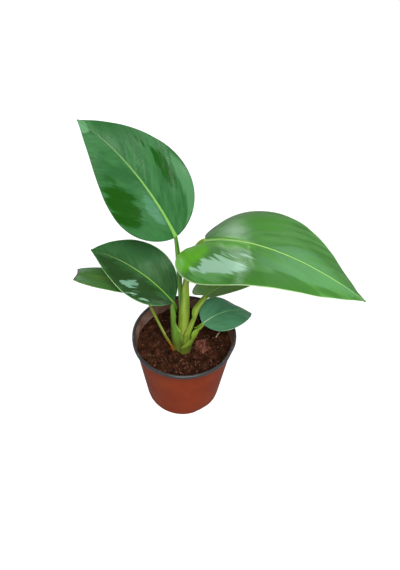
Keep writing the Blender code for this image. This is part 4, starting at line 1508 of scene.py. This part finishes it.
def leaves() -> tuple[Leaf, ...]:
    """The six leaves, youngest first."""
    tall_finish = BladeFinish(
        "tall_blade",
        fresh=linear(60, 115, 64),
        deep=linear(28, 80, 34),
        rib=linear(130, 182, 88),
        margin=linear(40, 84, 34),
        rib_fade=0.25,
        roughness=0.22,
        shine=0.3,
        streak_amount=0.65,
        under=linear(104, 150, 92),
        under_rib=linear(160, 190, 110),
        # Painted light: the three pale patches are painted sheen, and the two dark ones paint where no
        # sheen falls
        tone_and_sheen_patches=(
            ToneAndSheenPatch(0.42, -0.72, 0.20, 0.34, linear(22, 74, 3), 0.95, 1.2, -0.16),
            ToneAndSheenPatch(0.45, 0.62, 0.17, 0.15, linear(14, 76, 2), 1.0, 1.6, 0.9),
            ToneAndSheenPatch(0.25, -0.18, 0.16, 0.16, linear(98, 156, 126), 0.4, 1.6),
            ToneAndSheenPatch(0.24, 0.86, 0.20, 0.16, linear(92, 146, 98), 0.6, 1.4),
            ToneAndSheenPatch(0.98, -0.2, 0.07, 0.9, linear(126, 184, 136), 0.45, 1.0),
        ),
    )
    arching_finish = BladeFinish(
        "arching_blade",
        fresh=linear(78, 140, 64),
        deep=linear(40, 100, 32),
        rib=linear(156, 206, 108),
        margin=linear(190, 222, 160),
        under=linear(112, 150, 66),
        under_rib=linear(160, 190, 90),
        roughness=0.19,
        shine=0.34,
        streak_amount=0.75,
        # The pale patch at 0.36 is a painted reflection and the bluish one at 0.72 a painted sheen; the
        # green patches are tone
        tone_and_sheen_patches=(
            ToneAndSheenPatch(0.04, 0.70, 0.18, 0.70, linear(92, 176, 0), 1.0, 0.6),
            ToneAndSheenPatch(0.24, 0.05, 0.18, 0.16, linear(76, 152, 12), 0.8, 1.2),
            ToneAndSheenPatch(0.36, 0.58, 0.12, 0.30, linear(190, 232, 208), 0.66, 2.6),
            ToneAndSheenPatch(0.44, 0.88, 0.16, 0.14, linear(60, 140, 14), 0.8, 2.0),
            ToneAndSheenPatch(0.72, 0.20, 0.22, 0.60, linear(88, 146, 94), 0.6, 1.4),
            ToneAndSheenPatch(0.72, 0.80, 0.26, 0.26, linear(42, 106, 22), 0.85, 1.6),
            ToneAndSheenPatch(0.30, -0.62, 0.16, 0.30, linear(64, 138, 40), 0.8, 1.6),
        ),
    )
    left_finish = BladeFinish(
        "left_blade",
        fresh=linear(36, 88, 42),
        deep=linear(12, 58, 12),
        rib=linear(124, 172, 70),
        rib_fade=0.4,
        streak_amount=0.7,
        margin=linear(168, 212, 144),
        under=linear(96, 140, 80),
        under_rib=linear(150, 180, 90),
        roughness=0.18,
        shine=0.12,
        # The two pale streaky patches are painted glints; the dark ones are tone
        tone_and_sheen_patches=(
            ToneAndSheenPatch(0.45, -0.55, 0.5, 0.46, linear(4, 46, 2), 0.95, 0.8),
            ToneAndSheenPatch(0.55, 0.55, 0.4, 0.42, linear(44, 98, 54), 0.7, 1.8),
            ToneAndSheenPatch(0.46, -0.56, 0.10, 0.22, linear(128, 176, 150), 0.7, 4.2),
            ToneAndSheenPatch(0.30, -0.78, 0.10, 0.10, linear(150, 196, 170), 0.7, 4.2),
            ToneAndSheenPatch(0.22, 0.40, 0.16, 0.40, linear(14, 62, 12), 0.8, 1.8),
        ),
    )
    small_finish = BladeFinish(
        "small_blade",
        fresh=linear(86, 146, 108),
        deep=linear(44, 106, 66),
        rib=linear(130, 186, 120),
        margin=linear(160, 206, 160),
        under=linear(96, 140, 84),
        under_rib=linear(140, 180, 100),
    )
    shaded_finish = BladeFinish(
        "shaded_blade",
        fresh=linear(88, 140, 30),
        deep=linear(60, 108, 18),
        rib=linear(140, 180, 90),
        margin=linear(150, 190, 110),
        under=linear(94, 146, 46),
        under_rib=linear(120, 156, 60),
        roughness=0.32,
        shine=0.2,
    )
    aged_finish = BladeFinish(
        "aged_blade",
        fresh=linear(52, 108, 28),
        deep=linear(36, 80, 16),
        rib=linear(100, 138, 40),
        roughness=0.30,
        shine=0.3,
        margin=linear(170, 205, 150),
        under=linear(104, 146, 80),
        under_rib=linear(140, 176, 80),
        tip_dry=0.9,
        tone_and_sheen_patches=(ToneAndSheenPatch(0.5, -0.1, 0.4, 0.22, linear(72, 112, 18), 0.6, 0.4),),
    )
    old_stalk = StalkFinish(
        name="stalk_aged",
        light=linear(172, 190, 84),
        green=linear(146, 168, 50),
        deep=linear(112, 136, 34),
        foot=linear(168, 96, 24),
        foot_height=0.091,
        foot_reach=0.026,
    )
    dark_stalk = StalkFinish(
        name="stalk_left",
        light=linear(136, 182, 74),
        green=linear(110, 162, 48),
        deep=linear(78, 132, 32),
        foot=linear(112, 134, 50),
    )
    tall_stalk = StalkFinish(
        name="stalk_tall",
        light=linear(120, 172, 70),
        green=linear(92, 150, 52),
        deep=linear(60, 118, 30),
        foot=linear(70, 96, 24),
    )
    return (
        Leaf(
            name="tall",
            keel=152,
            ring_inner=0.9 * MM,
            ring_wall=2.7 * MM,
            clasp=150,
            open_clasp=100,
            sheath_height=0.056,
            stalk_radius=2.1 * MM,
            blade_base=(-0.0110, 0.005, 0.255),
            lean=5,
            stalk_reach=0.6,
            end_rise=78,
            end_reach=0.6,
            length=0.147,
            half_width=0.046,
            widest=0.39,
            azimuth=147,
            swing=15,
            rise=59,
            droop=32,
            bank=18,
            twist=-3,
            base_sweep=2,
            tip_sweep=-9,
            tip_power=0.98,
            right=Half((14, 5), (-10, -10), 1.5),
            left=Half((12, 6), (-13, -8), 1.0),
            blade_finish=tall_finish,
            stalk_finish=tall_stalk,
            rows=130,
            columns=30,
            seed=2,
            rib_base=2.7 * MM,
        ),
        Leaf(
            name="arching",
            keel=-28,
            ring_inner=4.0 * MM,
            ring_wall=3.6 * MM,
            clasp=150,
            open_clasp=100,
            sheath_height=0.058,
            stalk_radius=3.0 * MM,
            blade_base=(0.017, 0.0, 0.256),
            lean=0,
            stalk_reach=1.3,
            end_rise=46,
            end_reach=0.6,
            length=0.191,
            half_width=0.058,
            widest=0.31,
            azimuth=-47,
            swing=13,
            rise=43,
            droop=58,
            bank=-34,
            twist=46,
            base_sweep=79,
            tip_sweep=15,
            tip_power=0.99,
            right=Half((13, 1), (-4, -8), 3.2, 0.7 * MM, -4.5, 0.3),
            left=Half((-1, -9), (-29, -26), 1.6, 0.7 * MM),
            blade_finish=arching_finish,
            stalk_finish=STALK_GREEN,
            blade_slot=Slot.YOUNG_BLADE,
            rows=160,
            columns=32,
            seed=5,
            rib_base=2.4 * MM,
            creases=(
                Crease(1, 0.069, 1.1 * MM, 0.7 * MM),
                Crease(1, 0.112, 1.0 * MM, 0.5 * MM, 0.05, 0.45, 0.9),
            ),
        ),
        Leaf(
            name="left",
            keel=207,
            ring_inner=8.0 * MM,
            ring_wall=3.2 * MM,
            clasp=60,
            open_clasp=60,
            sheath_height=0.036,
            stalk_radius=2.2 * MM,
            blade_base=(-0.0128, -0.006, 0.168),
            lean=32,
            stalk_reach=0.8,
            end_rise=84,
            end_reach=0.6,
            length=0.1055,
            half_width=0.0336,
            widest=0.43,
            azimuth=153,
            swing=20,
            rise=43,
            droop=34,
            bank=13,
            twist=-3,
            base_sweep=0,
            tip_sweep=1,
            tip_power=0.98,
            right=Half((19, 7), (-5, -7), 1.2),
            left=Half((17, 8), (-8, -5), 1.2),
            blade_finish=left_finish,
            stalk_finish=dark_stalk,
            seed=9,
            hold=1.35,
            rib_base=1.5 * MM,
        ),
        Leaf(
            name="shaded",
            keel=-30,
            ring_inner=8.0 * MM,
            ring_wall=3.2 * MM,
            clasp=58,
            open_clasp=44,
            sheath_height=0.030,
            stalk_radius=2.8 * MM,
            blade_base=(0.0215, 0.006, 0.167),
            lean=20,
            stalk_reach=0.9,
            end_rise=50,
            end_reach=0.5,
            length=0.088,
            half_width=0.031,
            widest=0.38,
            azimuth=44,
            swing=-9,
            rise=0,
            droop=11,
            bank=23,
            twist=-10,
            base_sweep=44,
            tip_sweep=4,
            tip_power=0.6,
            right=Half((16, 5), (2, -15)),
            left=Half((5, 5), (-14, -8)),
            blade_finish=shaded_finish,
            stalk_finish=STALK_GREEN,
            rows=90,
            columns=22,
            seed=14,
            hold=2.1,
            rib_base=1.3 * MM,
        ),
        Leaf(
            name="aged",
            keel=204,
            ring_inner=11.6 * MM,
            ring_wall=2.2 * MM,
            clasp=24,
            open_clasp=24,
            sheath_height=0.002,
            stalk_radius=2.3 * MM,
            blade_base=(-0.047, 0.010, 0.170),
            lean=26,
            stalk_reach=0.9,
            end_rise=64,
            end_reach=0.7,
            length=0.0726,
            half_width=0.0207,
            widest=0.39,
            azimuth=175,
            swing=2,
            rise=18,
            droop=17,
            bank=-13,
            twist=-8,
            base_sweep=5,
            tip_sweep=8,
            tip_power=0.59,
            right=Half((12, 7), (-15, -15)),
            left=Half((12, 0), (-14, -22)),
            blade_finish=aged_finish,
            stalk_finish=old_stalk,
            stalk_slot=Slot.AGED_STALK,
            blunt_end=0.12,
            rows=80,
            columns=20,
            seed=21,
            hold=3.6,
            rib_base=1.0 * MM,
        ),
        Leaf(
            name="small",
            keel=-44,
            ring_inner=11.6 * MM,
            ring_wall=2.0 * MM,
            clasp=50,
            open_clasp=48,
            sheath_height=0.010,
            stalk_radius=2.2 * MM,
            blade_base=(0.021, -0.006, 0.133),
            lean=40,
            stalk_reach=0.9,
            end_rise=40,
            end_reach=0.5,
            length=0.064,
            half_width=0.0268,
            widest=0.43,
            azimuth=35,
            swing=-25,
            rise=27,
            droop=68,
            bank=-5,
            twist=25,
            base_sweep=6,
            tip_sweep=0,
            tip_power=0.9,
            right=Half((11, 3), (-21, -12)),
            left=Half((17, -5), (-8, -29)),
            blade_finish=small_finish,
            stalk_finish=STALK_GREEN,
            rows=80,
            columns=22,
            seed=27,
            hold=1.5,
            rib_base=1.1 * MM,
        ),
    )


@dataclass(frozen=True)
class Roots:
    """The buried crown and roots, which stay as the CAD model has them."""

    nodes: tuple[str, ...] = ("root_crown", "root_1", "root_2", "root_3", "root_4", "root_5")

    def dress(self) -> None:
        """Gives them a fleshy, earth-stained finish."""
        material = FibreFinish("root_flesh", linear(205, 176, 130), linear(150, 108, 68)).build()
        for name in self.nodes:
            node = frame["nodes"][name]
            for slot in node.material_slots:
                slot.material = material
            LOG.info("%s dressed", name)


# --- Stage -------------------------------------------------------------------------------------------
FLOOR_CLEAR = 0.1 * MM  # how far the floor lies below the pot


@dataclass(frozen=True)
class Softbox:
    """A square soft light that looks at the plant."""

    name: str
    azimuth: float
    elevation: float
    distance: float
    size: float
    power: float
    colour: Colour = (1.0, 1.0, 1.0)

    def build(self, target: Vector) -> None:
        """Hangs the light."""
        data = bpy.data.lights.new(self.name, "AREA")
        data.shape = "SQUARE"
        data.size = self.size
        data.energy = self.power
        data.color = self.colour
        made = bpy.data.objects.new(self.name, data)
        bpy.context.scene.collection.objects.link(made)
        made.location = target + Vector(heading(self.azimuth, self.elevation)) * self.distance
        made.rotation_euler = (target - made.location).to_track_quat("-Z", "Y").to_euler()


@dataclass(frozen=True)
class Studio:
    """A white floor, soft lights and the camera."""

    floor_size: float = 6.0
    floor_white: float = 1.0
    floor_bounce: float = 0.14
    ambient: float = 0.10
    aim: tuple[float, float, float] = (0.0154, 0.0, 0.191)
    elevation: float = 48.0
    distance: float = 0.70
    roll: float = 2.8
    lens: float = 41.8
    lights: tuple[Softbox, ...] = (
        Softbox("key", -84, 56, 1.4, 0.7, 25.0),
        Softbox("overhead", 10, 66, 1.2, 0.3, 0.5),
        Softbox("back_left", 117, 13, 1.0, 0.30, 1.5, (0.90, 0.97, 1.0)),
        Softbox("sky_back", 86, 42, 1.2, 0.5, 0.5, (0.84, 0.95, 1.0)),
        Softbox("right", 8, 26, 1.3, 0.14, 2.2, (0.92, 0.98, 1.0)),
        Softbox("right_high", 31, 43, 1.3, 0.12, 0.5, (0.92, 0.98, 1.0)),
        Softbox("tip_glint", -5, 60, 1.3, 0.08, 0.6, (0.92, 0.98, 1.0)),
    )

    def build(self) -> None:
        """Sets the stage."""
        self.build_floor()
        for light in self.lights:
            light.build(Vector(self.aim))
        self.build_world()
        self.build_camera()
        bpy.context.scene.view_settings.view_transform = "Standard"

    def build_floor(self) -> None:
        """A plain pale floor."""
        half = self.floor_size / 2
        sides = ((-1, -1), (1, -1), (1, 1), (-1, 1))
        corners = [(x * half, y * half, -FLOOR_CLEAR) for x, y in sides]
        mesh = bpy.data.meshes.new("floor")
        mesh.from_pydata(corners, [], [(0, 1, 2, 3)])
        material, w, shader = new_material("floor_white")
        seen = w.node("ShaderNodeLightPath").outputs["Is Camera Ray"]
        shader.inputs["Base Color"].default_value = (0.25, 0.25, 0.25, 1.0)
        shader.inputs["Emission Color"].default_value = (1.0, 1.0, 1.0, 1.0)
        w.feed(shader.inputs["Emission Strength"], w.level(seen, self.floor_bounce, self.floor_white))
        set_shader(shader, Roughness=0.9, Specular_IOR_Level=0.0)
        mesh.materials.append(material)
        floor = bpy.data.objects.new("floor", mesh)
        bpy.context.scene.collection.objects.link(floor)

    def build_world(self) -> None:
        """Even light from all round."""
        world = bpy.data.worlds.new("studio")
        world.use_nodes = True
        background = world.node_tree.nodes["Background"]
        background.inputs["Color"].default_value = (0.95, 0.98, 1.0, 1.0)
        background.inputs["Strength"].default_value = self.ambient
        bpy.context.scene.world = world

    def build_camera(self) -> None:
        """The camera, looking down at the plant with a slight roll."""
        data = bpy.data.cameras.new("camera")
        data.lens, data.sensor_width, data.sensor_fit = self.lens, 36.0, "AUTO"
        camera = bpy.data.objects.new("camera", data)
        bpy.context.scene.collection.objects.link(camera)
        e, r = math.radians(self.elevation), math.radians(self.roll)
        back = Vector((0, -math.cos(e), math.sin(e)))
        up, right = Vector((0, math.sin(e), math.cos(e))), Vector((1, 0, 0))
        x_axis = right * math.cos(r) + up * math.sin(r)
        y_axis = up * math.cos(r) - right * math.sin(r)
        place = Matrix((x_axis, y_axis, back)).transposed().to_4x4()
        place.translation = Vector(self.aim) + back * self.distance
        camera.matrix_world = place
        bpy.context.scene.camera = camera


def main() -> None:
    """Builds the potted plant and its stage."""
    logging.basicConfig(level=logging.INFO, format="%(name)s %(message)s")
    Studio().build()
    pot = Pot()
    pot.build()
    PottingMix(pot).build()
    for leaf in leaves():
        leaf.build_stalk()
        leaf.build_blade()
    Roots().dress()


if __name__ == "__main__":
    main()
